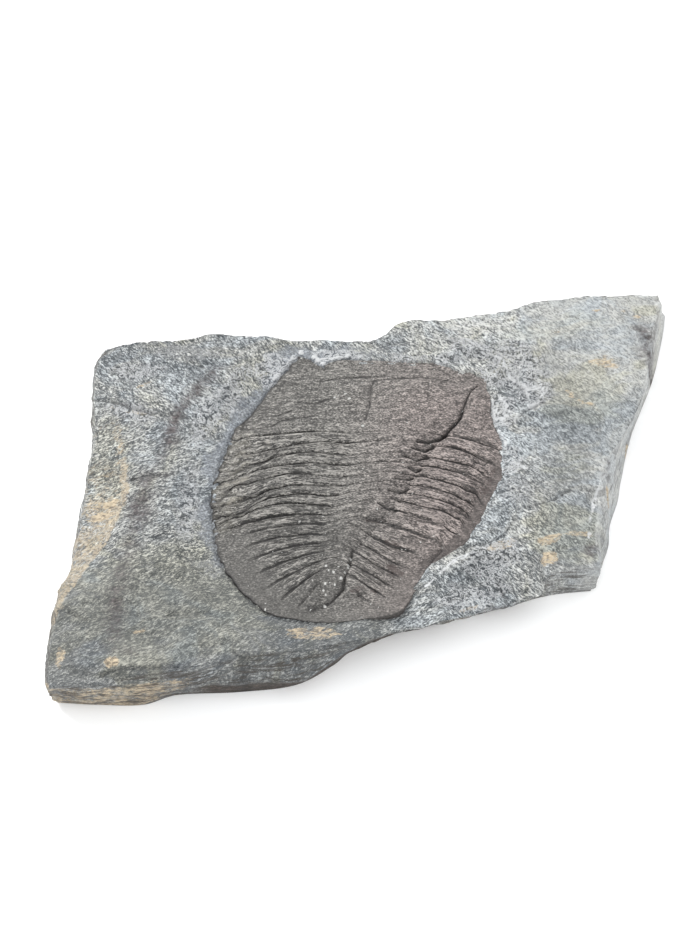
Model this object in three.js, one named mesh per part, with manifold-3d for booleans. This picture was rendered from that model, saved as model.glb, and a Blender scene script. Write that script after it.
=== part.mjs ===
// Trilobite fossil lying in its broken slab of grey mudstone.
// Millimetres, +Z up. The slab rests on its flat split underside. Looking down on it, +X runs along
// the slab's longest side and +Y runs from the trilobite's tail towards its head.

import * as THREE from 'three';
import { mergeVertices } from 'three/addons/utils/BufferGeometryUtils.js';
import Module from 'manifold-3d';

const wasm = await Module();
wasm.setup();

const WELD_DISTANCE = 1e-3;

// Driving dimensions of the slab
const BOX_CENTRE = new THREE.Vector2(0.234, 1.170);  // middle of the outlines below, moved to the origin
const TOP_LEFT_HEIGHT = 8.0;
const TOP_RIGHT_HEIGHT = 7.25;
const SHOULDER_LEVEL = 0.5;       // the walls turn at this share of their height
const UNDERSIDE_TRIM = 0.6;       // how far the rough body reaches below its flat underside
const SLAB_COLUMNS = 46;
const SLAB_ROWS = 38;
const WALL_ROWS = 5;
const WALL_LEDGE = 0.45;          // how far the bedding layers stand in and out of the broken walls

// Driving dimensions of the trilobite
const SEAT_HEIGHT = 4.6;          // underside of the shell above the slab's underside
const BED_GAP = 0.3;              // clearance between the shell and its bed
const BED_CUT_TOP = 12;           // the cut for the bed reaches well above the slab
const MARGIN_HEIGHT_LEFT = 6.35;
const MARGIN_HEIGHT_RIGHT = 6.5;
const PLEURAL_HEIGHT = 7.25;      // the pleural fields beside the axial furrows
const AXIS_RISE = 1.0;            // crest of the axis above the axial furrows
const THORACIC_FURROW_DEPTH = 0.45;
const TAIL_FURROW_DEPTH = 0.4;
const AXIAL_CRACK_DEPTH = 0.6;    // crushed right axial furrow
const HEAD_RIM_HEIGHT = 0.25;

// Stations along the body: 0 is the front margin, 3 the back of the head, 11 the last thoracic
// segment and 20 the tip of the tail. One station is one segment or one tail rib.
const HEAD_BACK = 3;
const THORAX_BACK = 11;
const TAIL_TIP = 20;
const ROWS_PER_STATION = 4;
const AXIS_SHARE = 1 / 3;         // share of the grid's half width that the axis takes
const SHELL_COLUMNS = 24;

const LEFT_MARGIN = track([
  [0, -15.6, 28.3], [1, -18.9, 22.2], [2, -22.5, 15.2], [3, -26.1, 9.2], [5, -27.8, 3.8],
  [7, -29.3, -3.9], [9, -29.1, -9.3], [11, -28.5, -13.2], [13, -27.4, -18.6], [15, -24.1, -24.1],
  [17, -19.2, -29.6], [19, -12.6, -31.5], [20, -9.8, -31.5],
]);
const LEFT_FURROW = track([
  [0, -2.5, 26.3], [1, -3.2, 19.7], [2, -4.7, 13.5], [3, -6.1, 8.5], [5, -6.4, 3.2],
  [7, -6.9, -1.8], [9, -8.2, -6.0], [11, -10.0, -10.4], [13, -11.1, -14.6], [15, -11.5, -18.3],
  [17, -11.3, -22.0], [19, -10.5, -26.2], [20, -9.4, -28.7],
]);
const RIGHT_FURROW = track([
  [0, 13.9, 23.2], [1, 15.2, 18.0], [2, 13.3, 11.6], [3, 9.5, 7.1], [5, 7.0, 2.5],
  [7, 4.6, -1.8], [9, 2.5, -6.2], [11, 0.5, -10.2], [13, -2.2, -14.4], [15, -4.3, -18.3],
  [17, -5.8, -22.0], [19, -7.0, -26.2], [20, -9.4, -28.7],
]);
const RIGHT_MARGIN = track([
  [0, 17.8, 22.4], [1, 18.2, 17.2], [2, 18.3, 11.8], [3, 19.5, 6.8], [5, 19.5, -1.0],
  [7, 17.1, -7.2], [9, 14.5, -12.8], [11, 11.0, -17.6], [13, 6.7, -21.0], [15, 4.2, -24.9],
  [17, 1.1, -29.6], [19, -6.1, -31.1], [20, -9.8, -31.5],
]);

// The slab's broken outline at three heights, each as four edges that meet at shared corners.
const CREST = {
  front: edge([
    [-51.4, -43.6], [-46.5, -43.3], [-42.4, -42.9], [-36.3, -42.0], [-29.0, -40.5], [-23.4, -38.5],
    [-16.6, -37.6], [-7.9, -36.3], [-3.6, -35.0], [-0.1, -33.2], [3.7, -32.2], [7.6, -30.9],
    [12.4, -29.2], [17.2, -27.6], [20.4, -26.4], [23.9, -25.2], [25.8, -21.6], [33.5, -20.4],
  ]),
  back: edge([
    [-49.4, 28.6], [-44.4, 29.7], [-35.5, 31.2], [-31.9, 32.8], [-26.4, 32.3], [-13.3, 31.2],
    [-1.7, 31.5], [2.6, 35.2], [13.6, 36.6], [19.5, 38.5], [30.8, 41.5], [42.0, 42.1], [50.2, 43.2],
  ]),
  left: edge([
    [-51.4, -43.6], [-51.8, -37.7], [-51.6, -27.2], [-50.4, -15.0], [-50.2, 0.2], [-50.3, 9.4],
    [-51.3, 19.1], [-50.9, 25.2], [-49.4, 28.6],
  ]),
  right: edge([
    [33.5, -20.4], [33.2, -15.1], [33.9, -10.4], [34.8, -4.5], [36.0, 0.4], [39.8, 6.6],
    [42.4, 11.3], [45.1, 17.4], [46.3, 23.9], [47.2, 30.1], [49.8, 36.8], [50.2, 43.2],
  ]),
};
const SHOULDER = {
  front: edge([
    [-52.2, -42.7], [-46.5, -43.6], [-42.0, -43.3], [-36.5, -42.7], [-29.1, -41.3], [-23.4, -40.7],
    [-14.6, -40.4], [-12.2, -39.4], [-9.0, -37.0], [-5.2, -34.2], [-0.4, -31.4], [7.8, -28.9],
    [14.0, -27.0], [20.5, -24.8], [25.4, -21.5], [33.4, -20.7],
  ]),
  back: edge([
    [-51.8, 29.4], [-44.0, 30.8], [-35.0, 32.0], [-26.4, 33.0], [-13.0, 31.9], [-1.0, 32.6],
    [5.0, 35.6], [19.5, 39.3], [31.0, 42.6], [42.0, 43.6], [52.6, 45.2],
  ]),
  left: edge([
    [-52.2, -42.7], [-53.1, -39.9], [-53.3, -32.4], [-52.9, -23.2], [-51.7, -18.1], [-51.5, -4.0],
    [-51.1, 10.3], [-51.9, 16.4], [-52.6, 23.9], [-51.8, 29.4],
  ]),
  right: edge([
    [33.4, -20.7], [35.0, -14.6], [36.4, -8.8], [37.6, -2.6], [39.2, 3.8], [41.7, 10.0],
    [45.4, 18.9], [48.4, 28.4], [51.2, 37.2], [52.6, 45.2],
  ]),
};
const BASE = {
  front: edge([
    [-51.2, -42.0], [-45.0, -42.4], [-38.1, -42.4], [-32.9, -40.6], [-23.7, -40.1], [-14.8, -38.8],
    [-9.1, -35.2], [-6.4, -32.6], [-1.3, -29.6], [7.8, -27.0], [14.0, -25.2], [22.0, -22.6],
    [27.0, -21.2], [32.8, -20.5],
  ]),
  back: edge([
    [-50.9, 28.4], [-42.0, 30.0], [-33.0, 31.0], [-24.0, 32.0], [-12.0, 31.0], [0.5, 33.2],
    [10.0, 36.4], [22.0, 39.6], [33.0, 43.2], [43.0, 44.4], [54.2, 46.1],
  ]),
  left: edge([
    [-51.2, -42.0], [-52.2, -36.0], [-51.8, -24.0], [-50.6, -12.0], [-50.4, 2.0], [-50.4, 12.0],
    [-51.4, 20.0], [-50.9, 28.4],
  ]),
  right: edge([
    [32.8, -20.5], [36.5, -11.9], [37.4, -6.9], [39.4, -1.3], [40.6, 3.7], [43.6, 14.1],
    [48.9, 27.2], [51.9, 37.2], [54.2, 46.1],
  ]),
};

// The scalloped chip on the left edge, as a half ellipse lying along that edge
const CHIP = { x: -51.5, y: -6.5, across: 9.0, along: 20.0, depth: 1.5 };
// The crack that crosses the right side, below which the surface has dropped
const CRACK = { start: [11.3, -17.3], end: [34.5, -4.8], drop: 0.45, run: 1.4 };
// Shallow scars where flakes have come off the top, each an ellipse turned by an angle in radians
const SCARS = [
  { x: 22.5, y: 15.5, across: 4.5, along: 10.5, turn: -0.25, drop: 0.4 },
  { x: -38.0, y: 21.5, across: 9.0, along: 4.5, turn: 0.2, drop: 0.35 },
  { x: -31.0, y: -34.0, across: 11.0, along: 4.0, turn: 0.15, drop: 0.4 },
  { x: 35.0, y: 22.0, across: 7.0, along: 9.0, turn: -0.5, drop: 0.3 },
  { x: -38.5, y: -17.0, across: 4.0, along: 10.0, turn: 0.1, drop: 0.3 },
  { x: 16.5, y: -22.5, across: 8.0, along: 3.2, turn: 0.3, drop: 0.35 },
];
// The carved bank around the shell: deep and wide on the left, a narrow lip on the right
const BANK = { depthLeft: 1.6, depthRight: 0.45, widthLeft: 6.5, widthRight: 2.0 };

// A smooth path through points [station, x, y], read by station.
function track(points) {
  const slope = (i, axis) => {
    const before = points[Math.max(i - 1, 0)];
    const after = points[Math.min(i + 1, points.length - 1)];
    return (after[axis] - before[axis]) / (after[0] - before[0]);
  };
  return (station) => {
    let i = 0;
    while (i < points.length - 2 && points[i + 1][0] <= station) i += 1;
    const step = points[i + 1][0] - points[i][0];
    const t = (station - points[i][0]) / step;
    const at = (axis) => {
      const h = [2 * t ** 3 - 3 * t ** 2 + 1, t ** 3 - 2 * t ** 2 + t, 3 * t ** 2 - 2 * t ** 3, t ** 3 - t ** 2];
      return h[0] * points[i][axis] + h[1] * step * slope(i, axis)
        + h[2] * points[i + 1][axis] + h[3] * step * slope(i + 1, axis);
    };
    return new THREE.Vector2(at(1), at(2));
  };
}

// A broken edge of the slab through points [x, y].
function edge(points) {
  return new THREE.SplineCurve(points.map(([x, y]) => new THREE.Vector2(x, y)));
}

function smooth(value) {
  return THREE.MathUtils.smoothstep(value, 0, 1);
}

function mix(a, b, share) {
  return a.clone().lerp(b, share);
}

// A point of the sheet spanned by an outline's four edges: u runs left to right, w front to back.
function patchPoint(outline, u, w) {
  const across = mix(outline.front.getPointAt(u), outline.back.getPointAt(u), w);
  const along = mix(outline.left.getPointAt(w), outline.right.getPointAt(w), u);
  const frontCorners = mix(outline.front.getPointAt(0), outline.front.getPointAt(1), u);
  const backCorners = mix(outline.back.getPointAt(0), outline.back.getPointAt(1), u);
  return across.add(along).sub(mix(frontCorners, backCorners, w));
}

// The shell's footprint, widened by a margin, as an open list of points all round.
function footprint(widening) {
  const loop = [];
  for (let v = 0; v <= TAIL_TIP; v += 0.5) loop.push(LEFT_MARGIN(v));
  for (let v = TAIL_TIP - 0.5; v >= 0; v -= 0.5) loop.push(RIGHT_MARGIN(v));
  loop.push(RIGHT_FURROW(0), LEFT_FURROW(0));
  return loop.map((point, i) => {
    const before = loop[(i + loop.length - 1) % loop.length];
    const after = loop[(i + 1) % loop.length];
    const run = after.clone().sub(before).normalize();
    return new THREE.Vector2(run.y, -run.x).multiplyScalar(widening).add(point);
  });
}

function distanceToLoop(loop, point) {
  let nearest = Infinity;
  loop.forEach((a, i) => {
    const run = loop[(i + 1) % loop.length].clone().sub(a);
    const share = THREE.MathUtils.clamp(point.clone().sub(a).dot(run) / run.lengthSq(), 0, 1);
    nearest = Math.min(nearest, run.multiplyScalar(share).add(a).distanceTo(point));
  });
  return nearest;
}

const SHELL_OUTLINE = footprint(0);

// How far the bank has been carved down beside the shell.
function bankDrop(point) {
  const side = smooth((point.x + 18) / 26);
  const depth = THREE.MathUtils.lerp(BANK.depthLeft, BANK.depthRight, side);
  const width = THREE.MathUtils.lerp(BANK.widthLeft, BANK.widthRight, side);
  const share = distanceToLoop(SHELL_OUTLINE, point) / width;
  return share < 1 ? depth * (1 - share ** 1.7) : 0;
}

function chipDrop(point) {
  const inside = 1 - ((point.x - CHIP.x) / CHIP.across) ** 2 - ((point.y - CHIP.y) / CHIP.along) ** 2;
  return CHIP.depth * smooth(inside / 0.8);
}

function scarDrop(point) {
  let drop = 0;
  for (const scar of SCARS) {
    const along = new THREE.Vector2(point.x - scar.x, point.y - scar.y);
    along.rotateAround(new THREE.Vector2(), -scar.turn);
    const inside = 1 - (along.x / scar.across) ** 2 - (along.y / scar.along) ** 2;
    drop += scar.drop * smooth(inside / 0.35);
  }
  return drop;
}

function crackDrop(point) {
  const [x0, y0] = CRACK.start;
  const [x1, y1] = CRACK.end;
  const run = new THREE.Vector2(x1 - x0, y1 - y0).normalize();
  const below = (point.x - x0) * run.y - (point.y - y0) * run.x;
  return CRACK.drop * smooth(below / CRACK.run) * smooth((point.x - x0 + 2) / 4);
}

// How far the top surface falls towards the front edge: a rounded corner on the left, a shallow
// fall along the ledges and a long flaky slope behind the tail.
function frontFall(point, w) {
  const corner = 0.9 * smooth((-40 - point.x) / 8);
  const slope = 1.35 * smooth((point.x + 7) / 6) * smooth((26 - point.x) / 2);
  return (0.35 + corner) * (1 - smooth(w / 0.05)) + slope * (1 - smooth(w / 0.13));
}

function swell(point) {
  return 0.18 * Math.sin(0.21 * point.x + 0.13 * point.y + 1)
    + 0.14 * Math.sin(0.33 * point.y - 0.17 * point.x + 2)
    + 0.1 * Math.sin(0.55 * point.x + 0.48 * point.y);
}

function crestHeight(point, u, w) {
  const bedding = THREE.MathUtils.lerp(TOP_LEFT_HEIGHT, TOP_RIGHT_HEIGHT, smooth((point.x + 45) / 80));
  const backRim = 1.0 * smooth((w - 0.92) / 0.08);
  const rightRim = 0.3 * smooth((u - 0.97) / 0.03);
  const leftRim = 0.4 * smooth((0.03 - u) / 0.03);
  return bedding + swell(point) - bankDrop(point) - chipDrop(point) - crackDrop(point) - scarDrop(point)
    - frontFall(point, w) - backRim - rightRim - leftRim;
}

// Maps one vertex of a unit box on the slab's rough body.
function slabPoint(box) {
  const u = box.x + 0.5;
  const w = box.y + 0.5;
  const level = box.z + 0.5;
  const crest = patchPoint(CREST, u, w);
  const height = crestHeight(crest, u, w);
  const shoulder = patchPoint(SHOULDER, u, w);
  const flat = level < SHOULDER_LEVEL
    ? mix(patchPoint(BASE, u, w), shoulder, level / SHOULDER_LEVEL)
    : mix(shoulder, crest, (level - SHOULDER_LEVEL) / (1 - SHOULDER_LEVEL));
  const outward = flat.clone().normalize().multiplyScalar(wallLedge(flat, level));
  flat.add(outward);
  return new THREE.Vector3(flat.x, flat.y, THREE.MathUtils.lerp(-UNDERSIDE_TRIM, height, level));
}

// How far a bedding layer stands out of the wall, none at the crest and at the underside
function wallLedge(flat, level) {
  const layers = Math.sin(14 * level + 0.35 * flat.x + 0.27 * flat.y) + 0.5 * Math.sin(0.9 * flat.x - 0.8 * flat.y);
  return WALL_LEDGE * layers * Math.sin(Math.PI * level);
}

// Maps a point of the shell's grid: s runs from the left margin, -1, to the right margin, 1.
function shellPlace(s, v) {
  const side = (Math.abs(s) - AXIS_SHARE) / (1 - AXIS_SHARE);
  if (side <= 0) return mix(LEFT_FURROW(v), RIGHT_FURROW(v), (s / AXIS_SHARE + 1) / 2);
  const left = s < 0;
  const place = left ? mix(LEFT_FURROW(v), LEFT_MARGIN(v), side) : mix(RIGHT_FURROW(v), RIGHT_MARGIN(v), side);
  const bow = (left ? 1.3 : 0.6) * smooth((v - 2) / 2) * smooth((TAIL_TIP - v) / 9);
  place.y += bow * Math.sin(Math.PI * side);
  return place;
}

function furrowDrop(side, v) {
  if (v < HEAD_BACK - 0.5) return 0;
  const groove = (0.5 + 0.5 * Math.cos(2 * Math.PI * v)) ** 2;
  if (v <= THORAX_BACK) return THORACIC_FURROW_DEPTH * groove * (1 - 0.5 * smooth((side - 0.75) / 0.25));
  const border = 1 - smooth((side - 0.55) / 0.25);
  return TAIL_FURROW_DEPTH * groove * border * smooth((TAIL_TIP - v) / 2);
}

function shellHeight(s, v) {
  const side = Math.max((Math.abs(s) - AXIS_SHARE) / (1 - AXIS_SHARE), 0);
  const front = smooth(v / 1.2);
  const tail = smooth((TAIL_TIP - v) / 3);
  const lift = s < 0 ? 0 : (MARGIN_HEIGHT_RIGHT - MARGIN_HEIGHT_LEFT) * tail;
  const margin = MARGIN_HEIGHT_LEFT + lift;
  const lobe = THREE.MathUtils.lerp(margin, PLEURAL_HEIGHT, front * tail);
  const fall = v > THORAX_BACK ? smooth(side / 0.85) : side ** 1.7;
  let height = THREE.MathUtils.lerp(lobe, margin, fall);
  height += 0.35 * Math.sin(Math.PI * Math.min(side, 1)) * front * tail;
  if (Math.abs(s) < AXIS_SHARE) {
    height += AXIS_RISE * (1 - (s / AXIS_SHARE) ** 2) * (0.35 + 0.65 * smooth((v - 1) / 3)) * tail * front;
  }
  const rim = Math.max(smooth((side - 0.85) / 0.1), 1 - smooth(v / 0.3)) * (1 - smooth((v - HEAD_BACK + 0.4) / 0.4));
  height += HEAD_RIM_HEIGHT * rim;
  const crack = Math.abs(s - AXIS_SHARE) < 0.02 ? smooth((v - 0.5) / 1) * smooth((16 - v) / 5) : 0;
  return height - furrowDrop(side, v) - AXIAL_CRACK_DEPTH * crack;
}

// Maps one vertex of a unit box on the shell's rough body, whose tail end closes on a seam.
function shellPoint(box) {
  const s = 2 * box.x;
  const v = (0.5 - box.y) * TAIL_TIP;
  const place = shellPlace(s, v);
  const height = box.z > 0 ? shellHeight(s, v) : SEAT_HEIGHT - 1;
  return new THREE.Vector3(place.x, place.y, height);
}

// Reshapes a box's vertices, leaves out one of its six faces where asked, and welds the rest.
function warpBox(box, pointOf, openFace) {
  const place = box.attributes.position;
  const vertex = new THREE.Vector3();
  for (let i = 0; i < place.count; i += 1) {
    const moved = pointOf(vertex.fromBufferAttribute(place, i));
    place.setXYZ(i, moved.x - BOX_CENTRE.x, moved.y - BOX_CENTRE.y, moved.z);
  }
  const kept = box.groups.filter((group) => group.materialIndex !== openFace);
  const corners = kept.flatMap(({ start, count }) => Array.from(box.index.array.slice(start, start + count)));
  box.setIndex(corners);
  box.deleteAttribute('normal');
  box.deleteAttribute('uv');
  return mergeVertices(box, WELD_DISTANCE);
}

// A closed welded geometry as a solid, without the triangles that welding made into lines.
function solidOf(geometry) {
  const index = geometry.index.array;
  const triangles = [];
  for (let i = 0; i < index.length; i += 3) {
    const [a, b, c] = [index[i], index[i + 1], index[i + 2]];
    if (a !== b && b !== c && c !== a) triangles.push(a, b, c);
  }
  return new wasm.Manifold(new wasm.Mesh({
    numProp: 3,
    vertProperties: new Float32Array(geometry.attributes.position.array),
    triVerts: new Uint32Array(triangles),
  }));
}

function geometryOf(solid) {
  const mesh = solid.getMesh();
  const geometry = new THREE.BufferGeometry();
  geometry.setAttribute('position', new THREE.BufferAttribute(mesh.vertProperties, 3));
  geometry.setIndex(new THREE.BufferAttribute(mesh.triVerts, 1));
  geometry.computeVertexNormals();
  return geometry;
}

// The bed that the shell lies in, as a straight-sided cut a little wider than the shell.
function bedCut() {
  const outline = footprint(BED_GAP).map((point) => point.sub(BOX_CENTRE));
  const floor = SEAT_HEIGHT - BED_GAP;
  const cut = new THREE.ExtrudeGeometry(new THREE.Shape(outline), { depth: BED_CUT_TOP - floor, bevelEnabled: false });
  cut.translate(0, 0, floor);
  cut.deleteAttribute('normal');
  cut.deleteAttribute('uv');
  return solidOf(mergeVertices(cut, WELD_DISTANCE));
}

function makeSlab() {
  const box = new THREE.BoxGeometry(1, 1, 1, SLAB_COLUMNS, SLAB_ROWS, WALL_ROWS);
  const body = solidOf(warpBox(box, slabPoint)).trimByPlane([0, 0, 1], 0);
  const stone = new THREE.MeshStandardMaterial({ color: 0x9a9c9a, roughness: 0.85, metalness: 0 });
  const slab = new THREE.Mesh(geometryOf(body.subtract(bedCut())), stone);
  slab.name = 'matrix_slab';
  return slab;
}

function makeTrilobite() {
  const rows = TAIL_TIP * ROWS_PER_STATION;
  const tailFace = 3;
  const box = new THREE.BoxGeometry(1, 1, 1, SHELL_COLUMNS, rows, 1);
  const body = solidOf(warpBox(box, shellPoint, tailFace)).trimByPlane([0, 0, 1], SEAT_HEIGHT);
  const shell = new THREE.MeshStandardMaterial({ color: 0x807a76, roughness: 0.7, metalness: 0 });
  const trilobite = new THREE.Mesh(geometryOf(body), shell);
  trilobite.name = 'trilobite';
  return trilobite;
}

const fossil = new THREE.Group();
fossil.add(makeSlab(), makeTrilobite());

export default fossil;
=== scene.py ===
# %% [markdown]
# # A trilobite in its slab
# The real object is a flat broken slab of grey mudstone with one trilobite shell lying in it. The
# frame holds both as plain solids. This lesson gives each of them a finely shaped surface in their
# place, made from a flat grid that is bent by measured lines, and then a stone finish made only of
# procedural textures. Every length in the script is in millimetres until the mesh is written.

import math

import bmesh
import bpy
import numpy as np
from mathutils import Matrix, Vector, noise


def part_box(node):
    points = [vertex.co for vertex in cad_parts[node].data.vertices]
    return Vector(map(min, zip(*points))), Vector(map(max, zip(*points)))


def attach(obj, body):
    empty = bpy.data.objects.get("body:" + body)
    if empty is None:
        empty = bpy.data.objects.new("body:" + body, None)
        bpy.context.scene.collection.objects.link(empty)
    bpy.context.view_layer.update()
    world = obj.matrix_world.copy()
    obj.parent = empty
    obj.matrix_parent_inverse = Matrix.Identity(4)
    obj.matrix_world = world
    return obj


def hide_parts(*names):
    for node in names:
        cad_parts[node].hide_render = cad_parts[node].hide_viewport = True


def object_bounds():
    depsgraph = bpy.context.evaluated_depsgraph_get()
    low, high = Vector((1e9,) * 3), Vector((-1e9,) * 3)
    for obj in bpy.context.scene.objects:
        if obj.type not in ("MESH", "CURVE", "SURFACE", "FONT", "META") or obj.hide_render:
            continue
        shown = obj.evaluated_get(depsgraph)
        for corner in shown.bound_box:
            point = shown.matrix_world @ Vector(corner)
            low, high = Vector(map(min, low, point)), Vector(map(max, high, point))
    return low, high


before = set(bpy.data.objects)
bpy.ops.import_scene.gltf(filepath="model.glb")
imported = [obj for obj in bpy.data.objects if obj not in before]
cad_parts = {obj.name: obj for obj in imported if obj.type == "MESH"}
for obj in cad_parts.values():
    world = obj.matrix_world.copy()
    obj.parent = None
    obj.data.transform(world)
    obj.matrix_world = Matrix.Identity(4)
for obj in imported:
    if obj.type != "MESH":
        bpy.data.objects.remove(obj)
cad_low, cad_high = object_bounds()
MM = 0.001
shell_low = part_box("trilobite")[0]
print("slab box in mm", [round((high - low) / MM, 1) for low, high in zip(cad_low, cad_high)])

# %% [markdown]
# ## The view
# The photograph looks down on the slab at about 48 degrees from straight in front, with a lens long
# enough to keep the far edge nearly as large as the near one. The camera looks along +Y, so it only
# has to be tipped about X. The floor is a pale sheet, and the light is a bright soft sky with one
# large lamp up and to the left, behind the slab, which draws the furrows as fine dark lines. A weak
# and very large lamp in front on the right keeps the shadows faint, as in the photograph.

# %% Camera and light
CAMERA_PLACE = Vector((-6.6, -176.0, 201.7))
CAMERA_ELEVATION = math.radians(48)
CAMERA_LENS = 60.0
LAMP_PLACE = Vector((-370.0, 300.0, 400.0))
LAMP_SIZE = 220.0
LAMP_POWER = 4.3
FILL_PLACE = Vector((330.0, -330.0, 330.0))
FILL_SIZE = 400.0
FILL_POWER = 1.5
SKY_STRENGTH = 1.1
LAMP_COLOUR = (1.0, 0.99, 0.97)
SKY_COLOUR = (0.97, 0.985, 1.0, 1.0)


def make_camera():
    camera = bpy.data.objects.new("camera", bpy.data.cameras.new("camera"))
    camera.location = CAMERA_PLACE * MM
    camera.rotation_euler = (math.pi / 2 - CAMERA_ELEVATION, 0.0, 0.0)
    camera.data.lens = CAMERA_LENS
    camera.data.clip_start = 0.01
    bpy.context.scene.collection.objects.link(camera)
    bpy.context.scene.camera = camera


def make_lamp(name, place, size, power):
    """A square lamp that looks at the origin."""
    lamp = bpy.data.objects.new(name, bpy.data.lights.new(name, "AREA"))
    lamp.data.size = size * MM
    lamp.data.energy = power
    lamp.data.color = LAMP_COLOUR
    lamp.location = place * MM
    lamp.rotation_mode = "QUATERNION"
    lamp.rotation_quaternion = place.to_track_quat("Z", "Y")
    bpy.context.scene.collection.objects.link(lamp)


def make_sky():
    sky = bpy.data.worlds.new("soft_sky")
    sky.use_nodes = True
    background = sky.node_tree.nodes["Background"]
    background.inputs["Color"].default_value = SKY_COLOUR
    background.inputs["Strength"].default_value = SKY_STRENGTH
    bpy.context.scene.world = sky
    bpy.context.scene.view_settings.view_transform = "Standard"


make_camera()
make_lamp("soft_lamp", LAMP_PLACE, LAMP_SIZE, LAMP_POWER)
make_lamp("fill_lamp", FILL_PLACE, FILL_SIZE, FILL_POWER)
make_sky()
print("lamps of", LAMP_SIZE, "and", FILL_SIZE, "mm, and a lens of", CAMERA_LENS)

# %% [markdown]
# ## Working with arrays
# A surface of a hundred thousand points is slow to shape one point at a time, so each rule below
# works on whole arrays. `smooth` is the soft step that most of the rules are built from,
# `distance_to` measures how far points lie from a drawn line, and `lumps` is fractal noise whose
# size is given in millimetres.

# %% Helpers for shaping
NOISE_SMOOTHNESS = 0.9
NOISE_LACUNARITY = 2.1
SEED_STEP = 17.3
RISER_SHARE = 0.2


def smooth(value):
    share = np.clip(value, 0.0, 1.0)
    return share * share * (3.0 - 2.0 * share)


def between(value, start, start_width, end, end_width):
    """1 from start to end, with a soft step of its own width at each."""
    return smooth((value - start) / start_width) * (1 - smooth((value - end) / end_width))


def ridge(distance, width):
    return np.exp(-((distance / width) ** 2))


def distance_to(line, x, y, closed=False):
    points = list(line) + ([line[0]] if closed else [])
    nearest = np.full(x.shape, 1e9)
    for (ax, ay), (bx, by) in zip(points[:-1], points[1:]):
        run_x, run_y = bx - ax, by - ay
        reach = max(run_x**2 + run_y**2, 1e-9)
        share = np.clip(((x - ax) * run_x + (y - ay) * run_y) / reach, 0.0, 1.0)
        nearest = np.minimum(nearest, np.hypot(x - ax - share * run_x, y - ay - share * run_y))
    return nearest


def inside_oval(oval, x, y):
    """1 at the oval's middle, 0 on its edge and negative outside."""
    centre_x, centre_y, across, along, turn = oval
    away_x, away_y = x - centre_x, y - centre_y
    turned_x = away_x * math.cos(turn) + away_y * math.sin(turn)
    turned_y = away_y * math.cos(turn) - away_x * math.sin(turn)
    return 1.0 - (turned_x / across) ** 2 - (turned_y / along) ** 2


def paint(spots, x, y, ragged):
    """The strongest of the spots at each point. Their edges wander with the noise."""
    strength = np.zeros(x.shape)
    for *oval, amount in spots:
        within = inside_oval(oval, x, y) + 0.7 * ragged + 0.1
        strength = np.maximum(strength, amount * smooth(within / 0.6))
    return strength


def lumps(x, y, z, size, octaves=4, stretch=1.0, seed=0.0):
    """Fractal noise between about -1 and 1. Lumps are size mm across and stretch times as long in X."""
    places = zip(x / (size * stretch), y / size, z / size + seed * SEED_STEP)
    shape = (NOISE_SMOOTHNESS, NOISE_LACUNARITY, octaves)
    return np.array([noise.fractal(Vector(place), *shape) for place in places])


def ledges(value, steps):
    """Turns rolling noise into flat terraces with short risers."""
    scaled = value * steps
    floor = np.floor(scaled)
    return (floor + smooth((scaled - floor) / RISER_SHARE)) / steps


print("the soft step at a quarter of its width:", smooth(0.25))

# %% [markdown]
# ## The lines that were measured
# The shell is laid out by four lines that run from head to tail: the left margin, the furrow on
# each side of the axis, and the right margin. Each point carries a station, which counts the
# segments: 3 is the back of the head, 11 the last thoracic segment and 20 the tip of the tail. The
# slab is laid out by its broken outline at three heights. The solids use the same lines. A track is
# a smooth curve through such points, so few of them are needed.

# %% Lines of the shell
BOX_CENTRE = (0.234, 1.170)
HEAD_BACK = 3.0
THORAX_BACK = 11.0
TAIL_TIP = 20.0


def track(points):
    """A smooth curve through rows of station, x and y, read by station."""
    rows = np.array(points)
    station, place = rows[:, 0], rows[:, 1:] - BOX_CENTRE
    before = np.vstack([rows[:1], rows[:-1]])
    after = np.vstack([rows[1:], rows[-1:]])
    slope = (after[:, 1:] - before[:, 1:]) / (after[:, :1] - before[:, :1])

    def at(stations):
        i = np.clip(np.searchsorted(station, stations, side="right") - 1, 0, len(station) - 2)
        step = (station[i + 1] - station[i])[..., None]
        t = (stations - station[i])[..., None] / step
        start = (2 * t**3 - 3 * t**2 + 1) * place[i] + (t**3 - 2 * t**2 + t) * step * slope[i]
        end = (3 * t**2 - 2 * t**3) * place[i + 1] + (t**3 - t**2) * step * slope[i + 1]
        return start + end

    return at


left_margin = track([
    (0, -15.6, 28.3), (1, -18.9, 22.2), (2, -22.5, 15.2), (3, -26.1, 9.2), (5, -27.8, 3.8),
    (7, -29.3, -3.9), (9, -29.1, -9.3), (11, -28.5, -13.2), (13, -27.4, -18.6), (15, -24.1, -24.1),
    (17, -19.2, -29.6), (19, -12.6, -31.5), (20, -9.8, -31.5),
])
left_furrow = track([
    (0, -2.5, 26.3), (1, -3.2, 19.7), (2, -4.7, 13.5), (3, -6.1, 8.5), (5, -6.4, 3.2),
    (7, -6.9, -1.8), (9, -8.2, -6.0), (11, -10.0, -10.4), (13, -11.1, -14.6), (15, -11.5, -18.3),
    (17, -11.3, -22.0), (19, -10.5, -26.2), (20, -9.4, -28.7),
])
right_furrow = track([
    (0, 13.9, 23.2), (1, 15.2, 18.0), (2, 13.3, 11.6), (3, 9.5, 7.1), (5, 7.0, 2.5), (7, 4.6, -1.8),
    (9, 2.5, -6.2), (11, 0.5, -10.2), (13, -3.0, -14.4), (15, -5.6, -18.3), (17, -7.0, -22.0),
    (19, -7.6, -26.2), (20, -9.4, -28.7),
])
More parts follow.
